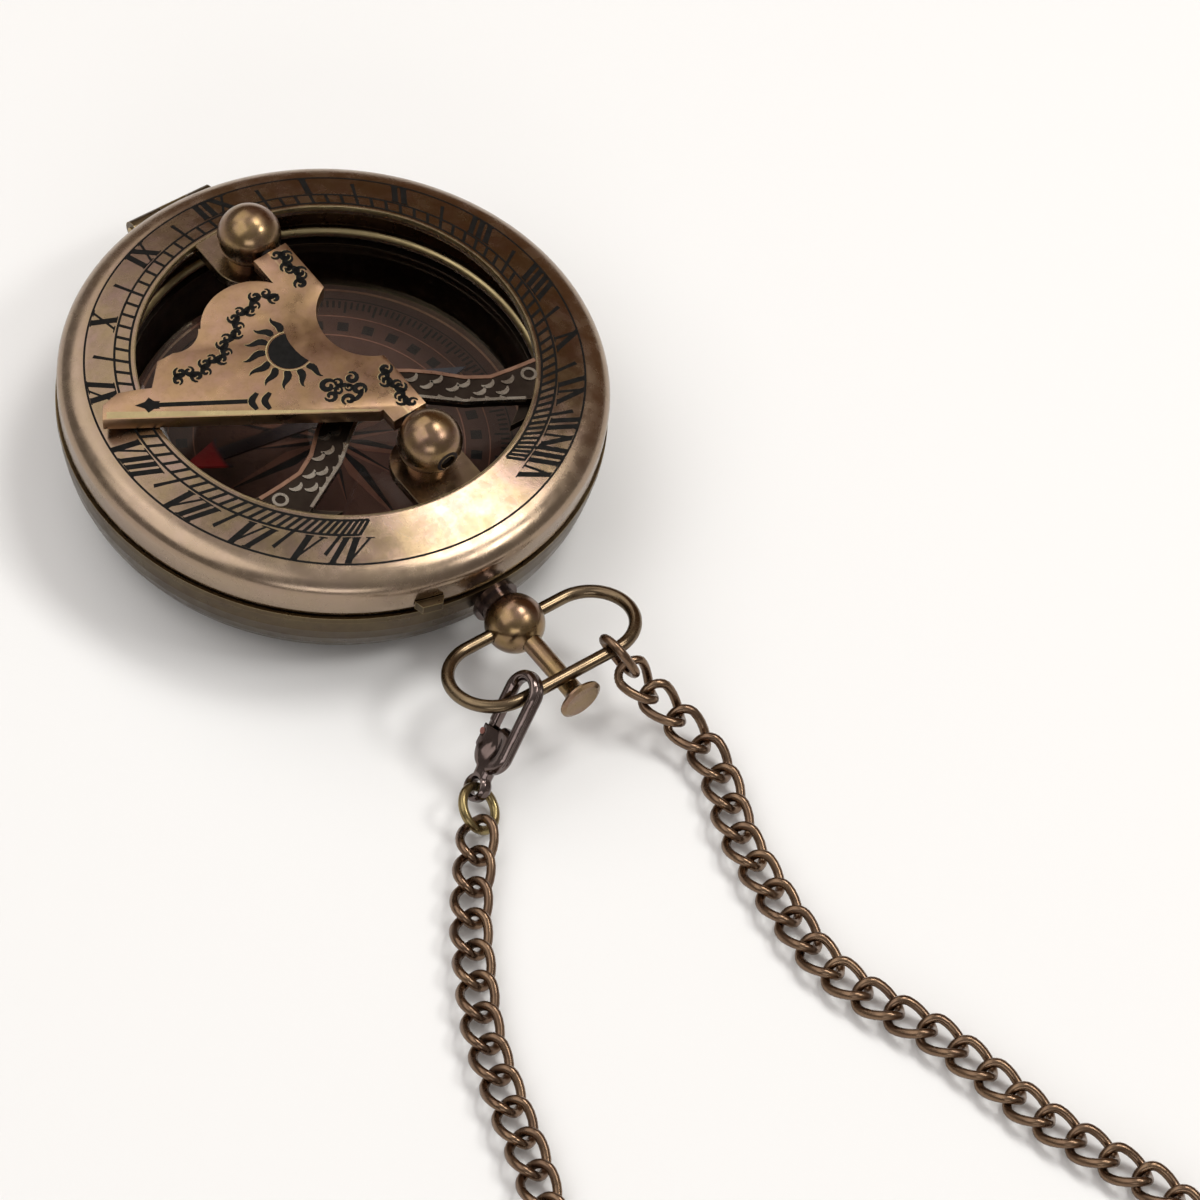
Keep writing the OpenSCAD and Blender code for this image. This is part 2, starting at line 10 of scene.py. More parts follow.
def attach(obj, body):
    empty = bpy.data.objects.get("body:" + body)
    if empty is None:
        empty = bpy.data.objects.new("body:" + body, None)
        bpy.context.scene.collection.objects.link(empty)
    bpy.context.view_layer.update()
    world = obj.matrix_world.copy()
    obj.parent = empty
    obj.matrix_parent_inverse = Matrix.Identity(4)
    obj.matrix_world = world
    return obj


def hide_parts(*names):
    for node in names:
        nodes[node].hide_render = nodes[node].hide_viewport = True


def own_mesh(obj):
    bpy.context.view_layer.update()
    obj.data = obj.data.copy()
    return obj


MM = 0.001
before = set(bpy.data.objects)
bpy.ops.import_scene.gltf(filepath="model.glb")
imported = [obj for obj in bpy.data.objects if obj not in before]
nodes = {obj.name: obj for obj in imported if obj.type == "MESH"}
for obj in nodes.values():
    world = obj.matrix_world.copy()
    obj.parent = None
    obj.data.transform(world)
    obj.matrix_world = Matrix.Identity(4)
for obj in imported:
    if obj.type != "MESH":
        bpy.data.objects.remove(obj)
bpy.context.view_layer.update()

# Shader nodes
BLACK = (0, 0, 0)
WHITE = (1, 1, 1)
# Sockets of a Mix node that blends colours
MIX_FACTOR = 0
MIX_FIRST = 6
MIX_SECOND = 7
MIX_RESULT = 2


def grey(value):
    return (value, value, value)


def node_material(name):
    material = bpy.data.materials.new(name)
    material.use_nodes = True
    tree = material.node_tree
    return material, tree, tree.nodes["Principled BSDF"]


def feed(tree, node, inputs):
    """Gives a node's inputs values, or links other nodes' outputs to them."""
    for key, value in inputs.items():
        socket = node.inputs[key]
        if isinstance(value, bpy.types.NodeSocket):
            tree.links.new(value, socket)
        elif socket.type == "RGBA":
            socket.default_value = (*value, 1)
        else:
            socket.default_value = value


def add(tree, kind, inputs, **settings):
    node = tree.nodes.new(kind)
    for key, value in settings.items():
        setattr(node, key, value)
    feed(tree, node, inputs)
    return node


def object_place(tree):
    return add(tree, "ShaderNodeTexCoord", {}).outputs["Object"]


def noise(tree, scale, detail, roughness):
    texture = add(tree, "ShaderNodeTexNoise", {
        "Vector": object_place(tree), "Scale": scale, "Detail": detail, "Roughness": roughness})
    return texture.outputs["Fac"]


def ramp(tree, source, stops):
    node = add(tree, "ShaderNodeValToRGB", {"Fac": source})
    elements = node.color_ramp.elements
    while len(elements) < len(stops):
        elements.new(0.5)
    for element, (at, colour) in zip(elements, stops):
        element.position = at
        element.color = (*colour, 1)
    return node.outputs["Color"]


def mix(tree, factor, first, second):
    inputs = {MIX_FACTOR: factor, MIX_FIRST: first, MIX_SECOND: second}
    return add(tree, "ShaderNodeMix", inputs, data_type="RGBA").outputs[MIX_RESULT]


def bump(tree, height, strength, distance):
    inputs = {"Height": height, "Strength": strength, "Distance": distance * MM}
    return add(tree, "ShaderNodeBump", inputs).outputs["Normal"]


def edge_mask(tree, radius):
    """White where the surface turns sharply within a radius, from the bevelled normal."""
    bevel = add(tree, "ShaderNodeBevel", {"Radius": radius * MM}, samples=6)
    geometry = add(tree, "ShaderNodeNewGeometry", {})
    dot = add(tree, "ShaderNodeVectorMath", {0: bevel.outputs["Normal"], 1: geometry.outputs["Normal"]},
              operation="DOT_PRODUCT")
    spread = add(tree, "ShaderNodeMapRange", {
        "Value": dot.outputs["Value"], "From Min": 0.98, "From Max": 0.75})
    return spread.outputs["Result"]


def beyond(tree, radius, soft):
    """Zero inside a radius from the compass's axis and one outside."""
    flat = add(tree, "ShaderNodeVectorMath", {0: object_place(tree), 1: (1, 1, 0)}, operation="MULTIPLY")
    far = add(tree, "ShaderNodeVectorMath", {0: flat.outputs[0]}, operation="LENGTH")
    edge = add(tree, "ShaderNodeMapRange", {
        "Value": far.outputs["Value"], "From Min": (radius - soft) * MM, "From Max": (radius + soft) * MM})
    return edge.outputs["Result"]


# Materials
def old_brass(name, base, blotch, rough, worn=None, wear=0, rim=None):
    """Antiqued brass: cloudy two-tone tarnish, fine scratches, and rubbed edges as wide as the wear.
    A rim is a radius from the compass's axis and the colour that takes over beyond it."""
    material, tree, shader = node_material(name)
    cloud = ramp(tree, noise(tree, 260, 5, 0.62), [(0.4, BLACK), (0.66, WHITE)])
    fine = ramp(tree, noise(tree, 1500, 3, 0.7), [(0.46, BLACK), (0.8, grey(0.7))])
    tarnish = mix(tree, cloud, base, blotch)
    tarnish = mix(tree, fine, tarnish, tuple(0.78 * c for c in base))
    if rim:
        radius, colour = rim
        tarnish = mix(tree, beyond(tree, radius, 0.8), tarnish, mix(tree, 0.65, tarnish, colour))
    if worn:
        tarnish = mix(tree, edge_mask(tree, wear), tarnish, worn)
    gloss = ramp(tree, noise(tree, 420, 4, 0.6), [(0.35, grey(rough[0])), (0.7, grey(rough[1]))])
    scratches = bump(tree, noise(tree, 900, 6, 0.75), 0.35, 0.012)
    feed(tree, shader, {"Base Color": tarnish, "Metallic": 1.0, "Roughness": gloss, "Normal": scratches})
    return material


def filled(name, colour, rough, metal=0.0, grain=1200, depth=0.01, shine=0.5, mottled=1.5):
    """Matt filling, paint or print, with a slight mottle."""
    material, tree, shader = node_material(name)
    lighter = tuple(min(1.0, mottled * c + 0.004) for c in colour)
    mottle = ramp(tree, noise(tree, grain, 4, 0.7), [(0.4, BLACK), (0.75, WHITE)])
    feed(tree, shader, {
        "Base Color": mix(tree, mottle, colour, lighter), "Metallic": metal, "Roughness": rough,
        "Specular IOR Level": shine, "Normal": bump(tree, noise(tree, grain, 5, 0.7), 0.3, depth)})
    return material


def painted_tip(name, tip, shank, paint_from):
    """Steel with a painted arrow head; the paint starts at a distance from the needle's axis."""
    material, tree, shader = node_material(name)
    feed(tree, shader, {"Base Color": mix(tree, beyond(tree, paint_from, 0.3), shank, tip),
                        "Roughness": 0.42, "Specular IOR Level": 0.25})
    return material


def clear_glass(name):
    """Faintly smeared glass that lets light through to what it covers."""
    material, tree, shader = node_material(name)
    smear = ramp(tree, noise(tree, 120, 3, 0.6), [(0.5, BLACK), (0.9, grey(0.02))])
    feed(tree, shader, {"Roughness": smear, "Base Color": (0.94, 0.96, 0.95),
                        "Transmission Weight": 1.0, "IOR": 1.45})
    shadow_ray = add(tree, "ShaderNodeLightPath", {}).outputs["Is Shadow Ray"]
    see_through = add(tree, "ShaderNodeBsdfTransparent", {})
    blend = add(tree, "ShaderNodeMixShader", {
        0: shadow_ray, 1: shader.outputs[0], 2: see_through.outputs[0]})
    feed(tree, tree.nodes["Material Output"], {"Surface": blend.outputs[0]})
    return material


# Beyond the rim radius the lid's rolled edge is lighter all round: partly wear, partly a painted highlight
# for the light the roll catches
LID = old_brass("lid_bronze", (0.225, 0.163, 0.098), (0.235, 0.16, 0.128), rough=(0.19, 0.33),
                worn=(0.55, 0.44, 0.24), wear=0.15, rim=(29.6, (0.365, 0.275, 0.2)))
GNOMON = old_brass("gnomon_bronze", (0.33, 0.21, 0.115), (0.335, 0.205, 0.145), rough=(0.25, 0.4),
                   worn=(0.68, 0.55, 0.31), wear=0.12)
BALL = old_brass("ball_bronze", (0.25, 0.168, 0.08), (0.24, 0.148, 0.108), rough=(0.17, 0.36),
                 worn=(0.5, 0.38, 0.2), wear=0.1)
# Case brass: its tarnished colour darkened further as painted shade, where the case sat in shadow
SHADED_CASE = old_brass("case_bronze_painted_shade", (0.10, 0.072, 0.038), (0.075, 0.05, 0.03), rough=(0.26, 0.4),
                 worn=(0.36, 0.28, 0.15), wear=0.2)
RIVET = old_brass("rivet_copper", (0.45, 0.2, 0.17), (0.35, 0.15, 0.12), rough=(0.3, 0.45),
                  worn=(0.6, 0.35, 0.3), wear=0.05)
BEZEL = old_brass("bezel_bronze", (0.205, 0.14, 0.088), (0.188, 0.125, 0.078), rough=(0.25, 0.35),
                  worn=(0.45, 0.34, 0.2), wear=0.1)
DARK = old_brass("dark_bronze", (0.035, 0.026, 0.02), (0.022, 0.015, 0.012), rough=(0.34, 0.5),
                 worn=(0.2, 0.15, 0.1), wear=0.1)
PLAIN = old_brass("inner_brass", (0.40, 0.30, 0.14), (0.34, 0.24, 0.12), rough=(0.25, 0.4),
                  worn=(0.7, 0.55, 0.3), wear=0.1)
WIRE = old_brass("chain_bronze", (0.205, 0.132, 0.082), (0.145, 0.09, 0.06), rough=(0.22, 0.36))
BOW = old_brass("bow_bronze", (0.175, 0.128, 0.076), (0.135, 0.093, 0.058), rough=(0.18, 0.32))
RING = old_brass("ring_brass", (0.28, 0.22, 0.10), (0.20, 0.14, 0.07), rough=(0.22, 0.36))
CLASP = old_brass("clasp_bronze", (0.15, 0.115, 0.105), (0.11, 0.078, 0.07), rough=(0.1, 0.22))
# Lighter brass, both rubbed wear and painted highlight: used on the window's edge, the bezel's crest, the
# style edge and beside the gnomon's engraving
WEAR_AND_HIGHLIGHT_BRASS = old_brass("rubbed_brass_and_painted_highlight", (0.40, 0.32, 0.17), (0.31, 0.24, 0.13), rough=(0.26, 0.42))
SILVER = old_brass("rubbed_edges", (0.36, 0.33, 0.28), (0.27, 0.23, 0.19), rough=(0.2, 0.34))
COPPER = old_brass("bracket_border", (0.32, 0.19, 0.13), (0.23, 0.13, 0.09), rough=(0.25, 0.4))
STEEL = old_brass("spring_steel", (0.5, 0.5, 0.5), (0.42, 0.42, 0.43), rough=(0.22, 0.34))
INK = filled("engraving_fill", (0.0045, 0.004, 0.0035), 0.6, shine=0.1)
HOLE = filled("pin_hole", (0.012, 0.008, 0.007), 0.75, grain=700, depth=0.08, shine=0.15)
CARD = filled("dial_card_print", (0.045, 0.019, 0.013), 0.7,
              grain=500, depth=0.0, shine=0.12, mottled=1.15)
CARD_TONE = filled("dial_card_tone", (0.08, 0.032, 0.02), 0.7,
                   grain=500, depth=0.0, shine=0.12, mottled=1.15)
CARD_INK = filled("dial_card_ink", (0.004, 0.003, 0.003), 0.7, shine=0.1)
CARD_LINE = filled("dial_card_line", (0.14, 0.058, 0.036), 0.7, shine=0.12)
BLUE = filled("needle_blue_steel", (0.03, 0.033, 0.045), 0.3, metal=0.7)
RED = painted_tip("needle_red_tip", (0.24, 0.006, 0.006), (0.022, 0.012, 0.012), 14.9)
GLASS = clear_glass("compass_glass")

CAD_LOOKS = {
    "case_cup": SHADED_CASE, "case_knuckles": SHADED_CASE, "hinge_pin": PLAIN, "lid_knuckle": SHADED_CASE,
    "inner_wall": DARK, "dial_plate": PLAIN, "dial_card": CARD, "needle_pivot": PLAIN,
    "needle_north": RED, "needle_south": BLUE, "needle_cap": PLAIN, "glass": GLASS, "bezel_ring": BEZEL,
    "lid_ring": LID, "lid_keeper": PLAIN, "thumb_nib": SHADED_CASE, "bracket": DARK, "north_post": BALL,
    "south_post": BALL, "gnomon_plate": GNOMON, "north_pivot_pin": HOLE, "south_pivot_pin": HOLE,
    "pendant_neck": CLASP, "pendant_ball": BALL, "push_button": BALL, "catch_hook": PLAIN,
    "button_spring": STEEL, "bow": BOW, "first_link": WIRE, "chain_right": WIRE, "chain_far": WIRE,
    "chain_left": WIRE, "jump_ring": RING, "clasp_body": CLASP, "clasp_lever": CLASP, "clasp_rivet": RIVET,
    "clasp_spring": STEEL,
}
for node_name, look in CAD_LOOKS.items():
    slots = nodes[node_name].data.materials
    slots.clear()
    slots.append(look)


# Meshes
PIECE_SHARP = 38
PLATE_SHARP = 40


def node_mesh(node_name):
    """A copy of a CAD node's mesh, where the node is."""
    mesh = nodes[node_name].data.copy()
    mesh.transform(nodes[node_name].matrix_world)
    return mesh


def smooth_over(mesh, sharp_angle):
    """Smooth shading, with the edges that turn more than an angle in degrees kept sharp."""
    mesh.shade_smooth()
    mesh.set_sharp_from_angle(angle=math.radians(sharp_angle))


def bring_in(name, mesh, look, body):
    """An object with one look, riding on a body."""
    mesh.materials.clear()
    mesh.materials.append(look)
    made = bpy.data.objects.new(name, mesh)
    bpy.context.scene.collection.objects.link(made)
    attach(made, body)
    return made


def piece(name, shape, look, body, smooth=True):
    """An object from a shape in millimetres."""
    mesh = bpy.data.meshes.new(name)
    mesh.from_pydata([tuple(MM * c for c in p) for p in shape.points], [], shape.faces)
    mesh.update()
    if smooth:
        smooth_over(mesh, PIECE_SHARP)
    return bring_in(name, mesh, look, body)


class Shape:
    """Collects points and faces of one mesh."""

    def __init__(self):
        self.points = []
        self.faces = []

    def add(self, points, faces):
        start = len(self.points)
        self.points += [tuple(p) for p in points]
        self.faces += [tuple(start + i for i in face) for face in faces]

    def tube(self, line, radii, sides, closed=False):
        """Sweeps a ring along a line, with one radius per point."""
        line = [Vector(p) for p in line]
        count = len(line)
        rings = []
        side = None
        for i, here in enumerate(line):
            after = line[(i + 1) % count] if closed or i < count - 1 else here
            before = line[i - 1] if closed or i else here
            way = (after - before).normalized()
            if side is None:
                side = way.orthogonal().normalized()
            side = (side - way * side.dot(way)).normalized()
            other = way.cross(side)
            for k in range(sides):
                turn = 2 * math.pi * k / sides
                rings.append(here + radii[i] * (math.cos(turn) * side + math.sin(turn) * other))
        faces = []
        for i in range(count if closed else count - 1):
            for k in range(sides):
                a = i * sides + k
                b = i * sides + (k + 1) % sides
                c = ((i + 1) % count) * sides
                faces.append((a, b, c + (k + 1) % sides, c + k))
        if not closed:
            faces.append(tuple(reversed(range(sides))))
            faces.append(tuple((count - 1) * sides + k for k in range(sides)))
        self.add(rings, faces)

    def turned(self, outline, steps=288):
        """Turns a closed outline of (radius, height), listed anticlockwise, about Z."""
        points = []
        faces = []
        count = len(outline)
        for i in range(steps):
            turn = 2 * math.pi * i / steps
            points += [(r * math.cos(turn), r * math.sin(turn), z) for r, z in outline]
            here = i * count
            after = (i + 1) % steps * count
            for k in range(count):
                j = (k + 1) % count
                faces.append((here + k, after + k, after + j, here + j))
        self.add(points, faces)


def polar(r, degrees, cx=0, cy=0):
    turn = math.radians(degrees)
    return (cx + r * math.cos(turn), cy + r * math.sin(turn))


def arc(cx, cy, r, a0, a1, steps):
    return [polar(r, a0 + (a1 - a0) * i / steps, cx, cy) for i in range(steps + 1)]


def spline(route, steps):
    """The same smooth line through the route's points as the CAD model's chain."""
    held = [route[0]] + route + [route[-1]]
    line = []
    for i in range(len(route) - 1):
        p, q, r, s = (np.array(held[i + k], float) for k in range(4))
        for k in range(steps):
            t = k / steps
            line.append(0.5 * (2 * q + (r - p) * t + (2 * p - 5 * q + 4 * r - s) * t * t
                               + (3 * q - p - 3 * r + s) * t ** 3))
    return np.array(line + [np.array(route[-1], float)])


# Camera: the photograph's own place and direction, framed on the compass and its chain
EYE = Vector((-249.5, -313.7, 497.8)) * MM
LOOK = Vector((0.434, 0.510, -0.742)).normalized()
RIGHT = Vector((0.810, -0.581, 0.0747))
FOCAL_PX = 3110.8
AIM_PX = (75, 250)
FRAME_PX = 700
SENSOR = 36
CLIP_NEAR = 0.01

right = (RIGHT - LOOK * RIGHT.dot(LOOK)).normalized()
up = right.cross(LOOK)
aim = (LOOK * FOCAL_PX + right * AIM_PX[0] - up * AIM_PX[1]).normalized()
aim_right = (right - aim * right.dot(aim)).normalized()
aim_frame = Matrix((aim_right, aim_right.cross(aim), -aim)).transposed().to_4x4()
camera = bpy.data.objects.new("camera", bpy.data.cameras.new("camera"))
bpy.context.scene.collection.objects.link(camera)
camera.matrix_world = Matrix.Translation(EYE) @ aim_frame
camera.data.lens = SENSOR * FOCAL_PX / FRAME_PX
camera.data.clip_start = CLIP_NEAR
bpy.context.scene.camera = camera

# Chain: the route's points from the CAD source
FLOOR_Z = 1.85
ROUTE = [
    [6.8, -48, 10.2], [8.3, -50.5, 6.9], [9.9, -53.6, 4.7], [11, -57.2, 3],
    [11.1, -61.4, 2.1], [9.7, -66, FLOOR_Z], [7.6, -71, FLOOR_Z], [6.4, -77, FLOOR_Z],
    [5.4, -84, FLOOR_Z], [5.2, -91, FLOOR_Z], [7, -98, FLOOR_Z], [9.8, -105, FLOOR_Z],
    [11.4, -112, FLOOR_Z], [13, -120, FLOOR_Z], [15.6, -127.5, FLOOR_Z], [18.2, -134.5, FLOOR_Z],
    [18.6, -142, FLOOR_Z], [14, -149, FLOOR_Z], [5, -152, FLOOR_Z], [-5, -151, FLOOR_Z],
    [-12, -145, FLOOR_Z], [-15, -137, FLOOR_Z], [-19, -129.5, FLOOR_Z], [-26, -128, FLOOR_Z],
    [-33, -132, FLOOR_Z], [-41, -133, FLOOR_Z], [-47.5, -128, FLOOR_Z], [-50.5, -119.5, FLOOR_Z],
    [-47.5, -110.5, FLOOR_Z], [-42, -103, FLOOR_Z], [-38.5, -95, FLOOR_Z], [-36, -87, FLOOR_Z],
    [-33, -78, FLOOR_Z], [-29, -70.5, FLOOR_Z], [-24.6, -63.5, FLOOR_Z], [-18.2, -55.75, 2.2],
]
LINK_WIRE = 1.1
LINK_LEN = 6.7
LINK_W = 5.0
LINK_COUNT = 65
LINK_TWIST = math.radians(45)
FIRST_LEAN = math.radians(-60)
RIDGE_DEPTH = 0.05
RIDGES_BEYOND = -0.35
PLAIN_STEPS = 40
RIDGED_STEPS = 72
route_line = spline(ROUTE, 8)
route_runs = np.concatenate([[0], np.cumsum(np.linalg.norm(np.diff(route_line, axis=0), axis=1))])
route_len = route_runs[-1]
pitch = route_len / (LINK_COUNT - 1)


def along(s):
    return Vector([np.interp(s, route_runs, route_line[:, k]) for k in range(3)])


def link_line(twist, ridges):
    """Centreline and wire radii of one link along X, its two ends turned against each other."""
    bend = (LINK_W - LINK_WIRE) / 2
    half = (LINK_LEN - LINK_W) / 2
    steps = RIDGED_STEPS if ridges else PLAIN_STEPS
    line = []
    radii = []
    for i in range(steps):
        turn = 2 * math.pi * i / steps
        x = bend * math.cos(turn) + half * max(-1, min(1, 3 * math.cos(turn)))
        y = bend * math.sin(turn)
        lean = -twist * x / (bend + half)
        line.append((x, y * math.cos(lean), y * math.sin(lean)))
        notch = RIDGE_DEPTH * (i % 2) if ridges and math.cos(turn) < RIDGES_BEYOND else 0
        radii.append(LINK_WIRE / 2 - notch)
    return line, radii


def add_link(shape, i, twist, ridges, sides, lean=0):
    """Adds link number i along the route, turned about its own length by the lean."""
    way = along((i + 0.5) * pitch) - along((i - 0.5) * pitch)
    heading = Matrix.Rotation(math.atan2(way.y, way.x), 4, "Z")
    rise = Matrix.Rotation(-math.atan2(way.z, math.hypot(way.x, way.y)), 4, "Y")
    where = Matrix.Translation(along(i * pitch)) @ heading @ rise @ Matrix.Rotation(lean, 4, "X")
    line, radii = link_line(twist, ridges)
    shape.tube([where @ Vector(p) for p in line], radii, sides, True)


chain_shape = Shape()
for i in range(1, LINK_COUNT):
    add_link(chain_shape, i, LINK_TWIST, i == 1, 10)
chain = piece("chain_links", chain_shape, WIRE, "chain")
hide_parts("chain_right", "chain_far", "chain_left")

first_shape = Shape()
add_link(first_shape, 0, 0, True, 12, FIRST_LEAN)
first = piece("first_link_ring", first_shape, WIRE, "chain")
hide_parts("first_link")

# Flat strokes and outlines, laid on a surface by a place function (x, y, lift) -> point
PRINT_TOP = 0.02
PRINT_FOOT = -0.06


def strip(shape, left, right, place, top=PRINT_TOP, foot=PRINT_FOOT, closed=False):
    """A band between two lines."""
    count = len(left)
    points = []
    for (lx, ly), (rx, ry) in zip(left, right):
        points += [place(lx, ly, top), place(rx, ry, top), place(rx, ry, foot), place(lx, ly, foot)]
    faces = []
    for i in range(count if closed else count - 1):
        a = 4 * i
        b = 4 * ((i + 1) % count)
        faces += [(a, a + 1, b + 1, b), (a + 1, a + 2, b + 2, b + 1), (a + 3, a, b, b + 3)]
    if not closed:
        last = 4 * (count - 1)
        faces += [(3, 2, 1, 0), (last, last + 1, last + 2, last + 3)]
    shape.add(points, faces)


def stroke(shape, line, width, place, top=PRINT_TOP, foot=PRINT_FOOT):
    """A stroke along a line in the plane; width is a number or one per point."""
    widths = width if hasattr(width, "__len__") else [width] * len(line)
    left = []
    right = []
    for i, (x, y) in enumerate(line):
        x0, y0 = line[max(i - 1, 0)]
        x1, y1 = line[min(i + 1, len(line) - 1)]
        long = math.hypot(x1 - x0, y1 - y0)
        nx = -(y1 - y0) / long * widths[i] / 2
        ny = (x1 - x0) / long * widths[i] / 2
        left.append((x + nx, y + ny))
        right.append((x - nx, y - ny))
    strip(shape, left, right, place, top, foot)


def hoop(shape, cx, cy, r_in, r_out, sides, place, top=PRINT_TOP):
    """A closed flat ring."""
    end = 360 - 360 / sides
    inner, outer = (arc(cx, cy, r, 0, end, sides - 1) for r in (r_in, r_out))
    strip(shape, inner, outer, place, top, closed=True)


def anticlockwise(outline):
    area = sum(p[0] * q[1] - q[0] * p[1] for p, q in zip(outline, outline[1:] + outline[:1]))
    return outline[::-1] if area < 0 else outline


def patch(shape, outline, place, top=PRINT_TOP):
    """A filled outline."""
    outline = anticlockwise(outline)
    count = len(outline)
    points = [place(x, y, lift) for lift in (top, PRINT_FOOT) for x, y in outline]
    faces = [tuple(range(count))]
    faces += [(i, count + i, count + (i + 1) % count, (i + 1) % count) for i in range(count)]
    shape.add(points, faces)


# Lid: a turned ring with a rolled edge, and two lugs under the ball posts
WINDOW_R = 23.4
LID_TOP = 19.2
CONE_END = 29.54
SLOPE = 0.2704
ROLL_AT = (28.6, 15)
ROLL_HALF = (3.9, 2.62)
POST_Y = 18.4
LUG_R = 4.38
LUG_OUT = WINDOW_R + 0.1
LUG_FOOT = 17.82
LUG_TOP = 19.02
LUG_CREST = 19.09
LUG_SHRINK = 0.985
LUG_ARC_Y = 22


def cone_z(r):
    return LID_TOP - SLOPE * (max(r, WINDOW_R) - WINDOW_R)


lid_profile = [(WINDOW_R, 17.95), (WINDOW_R, 19.05), (WINDOW_R + 0.05, 19.14)]
lid_profile += [(WINDOW_R + 0.14, cone_z(WINDOW_R + 0.14))]
lid_profile += [(r, cone_z(r)) for r in np.linspace(WINDOW_R + 0.5, CONE_END, 14)]
lid_profile += [(ROLL_AT[0] + ROLL_HALF[0] * math.cos(math.radians(a)),
                 ROLL_AT[1] + ROLL_HALF[1] * math.sin(math.radians(a))) for a in np.linspace(72, 0, 22)]
lid_profile += [(32.44, 13.6), (32.34, 12.4), (32.22, 11.85), (32.1, 11.72), (31.32, 11.72), (31.3, 11.9),
                (31.3, 14.8), (30.5, 15.6), (28.8, 16.4)]
lid_shape = Shape()
lid_shape.turned(lid_profile[::-1])
for way in (1, -1):
    half = math.degrees(math.asin(LUG_R / LUG_OUT))
    outline = arc(0, POST_Y, LUG_R, 180, 360, 24) + arc(0, 0, LUG_OUT, 90 - half, 90 + half, 10)
    outline = anticlockwise([(x, way * y) for x, y in outline])
    count = len(outline)
    crest = []
    for x, y in outline:
        shrunk_y = way * POST_Y + (y - way * POST_Y) * LUG_SHRINK
        crest.append((x * LUG_SHRINK, shrunk_y if abs(y) < LUG_ARC_Y else y))
    points = [(x, y, LUG_FOOT) for x, y in outline] + [(x, y, LUG_TOP) for x, y in outline]
    points += [(x, y, LUG_CREST) for x, y in crest]
    faces = [tuple(range(2 * count, 3 * count)), tuple(reversed(range(count)))]
    for level in (0, count):
        for i in range(count):
            j = (i + 1) % count
            faces.append((level + i, level + j, level + count + j, level + count + i))
    lid_shape.add(points, faces)
lid = piece("lid_shell", lid_shape, LID, "lid")
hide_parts("lid_ring")

# Bright lines round the window's edge, rubbed brass with a painted highlight on it, and along the crest of
# the ring that holds the glass, a painted highlight
EDGE_OUT = WINDOW_R + 0.24
EDGE_IN = WINDOW_R - 0.012
edge_z = cone_z(EDGE_OUT)
edge_line = Shape()
edge_line.turned([(WINDOW_R + 0.05, 18.5), (EDGE_OUT, edge_z - 0.06), (EDGE_OUT, edge_z + 0.01),
                  (WINDOW_R + 0.05, 19.15), (EDGE_IN, 19.06), (EDGE_IN, 18.5)])
piece("window_edge_wear_and_highlight", edge_line, WEAR_AND_HIGHLIGHT_BRASS, "lid")

BEAD_AT = (25.3, 12.7)
BEAD_R = 0.8
CREST_OUT = BEAD_R + 0.012
CREST_IN = BEAD_R - 0.06
CREST_FROM = 108
CREST_TO = 162
# Painted highlight: a bright band all round the crest of the glass ring's bead
crest_highlight_line = Shape()
crest_highlight_line.turned(arc(*BEAD_AT, CREST_OUT, CREST_FROM, CREST_TO, 6)
                  + arc(*BEAD_AT, CREST_IN, CREST_TO, CREST_FROM, 6))
piece("bezel_crest_painted_highlight", crest_highlight_line, WEAR_AND_HIGHLIGHT_BRASS, "case")

# Hour scale cut into the lid: the hour lines fan out from a point near the pendant
SCALE_FOOT = 16.8
SCALE_TURN = math.radians(-3.0)
SCALE_IN = 24.1
SCALE_OUT = 25.85
SCALE_RIM = 29.35
SCALE_LINE = 0.27
RIM_HALF = 0.12
TICK_W = 0.37
TICK_LIFT = 0.024
HALF_HOUR_OUT = 28.3
HALF_HOUR_FLARE = 1.25
NUMERAL_R = 27.65
NUMERALS = ["IV", "V", "VI", "VII", "VIII", "IX", "X", "XI", "XII",
            "I", "II", "III", "IIII", "V", "VI", "VII", "VIII"]


def on_lid(x, y, lift):
    return (x, y, cone_z(math.hypot(x, y)) + lift)


def hour_point(hour, r):
    """Where the line of an hour after noon crosses a circle, and the line's direction there."""
    turn = math.radians(15 * hour)
    back = SCALE_FOOT * math.cos(turn)
    run = back + math.sqrt(back ** 2 - SCALE_FOOT ** 2 + r * r)
    x = run * math.sin(turn)
    y = run * math.cos(turn) - SCALE_FOOT
    spot = Vector((x * math.cos(SCALE_TURN) - y * math.sin(SCALE_TURN),
                   x * math.sin(SCALE_TURN) + y * math.cos(SCALE_TURN)))
    return spot, Vector((math.sin(turn - SCALE_TURN), math.cos(turn - SCALE_TURN)))


def scale_ring(r):
    """A line round the scale, open between its last and its first hour."""
    first_spot, last_spot = (hour_point(hour, r)[0] for hour in (-8, 8))
    a0 = math.degrees(math.atan2(first_spot.y, first_spot.x))
    a1 = math.degrees(math.atan2(last_spot.y, last_spot.x))
    while a0 < a1:
        a0 += 360
    steps = max(8, int((a0 - a1) / 1.5))
    inner, outer = (arc(0, 0, r + side * SCALE_LINE / 2, a1, a0, steps) for side in (-1, 1))
    strip(scale, inner, outer, on_lid)


scale = Shape()
scale_ring(SCALE_IN)
scale_ring(SCALE_OUT)
hoop(scale, 0, 0, SCALE_RIM - RIM_HALF, SCALE_RIM + RIM_HALF, 288, on_lid)
for tick in range(-48, 49):
    half_hour = tick % 6 == 3
    reach = HALF_HOUR_OUT if half_hour else SCALE_OUT
    spots = [hour_point(tick / 6, r)[0] for r in np.linspace(SCALE_IN, reach, 4)]
    widths = [TICK_W, TICK_W, TICK_W, TICK_W * (HALF_HOUR_FLARE if half_hour else 1)]
    stroke(scale, [(p.x, p.y) for p in spots], widths, on_lid, TICK_LIFT)

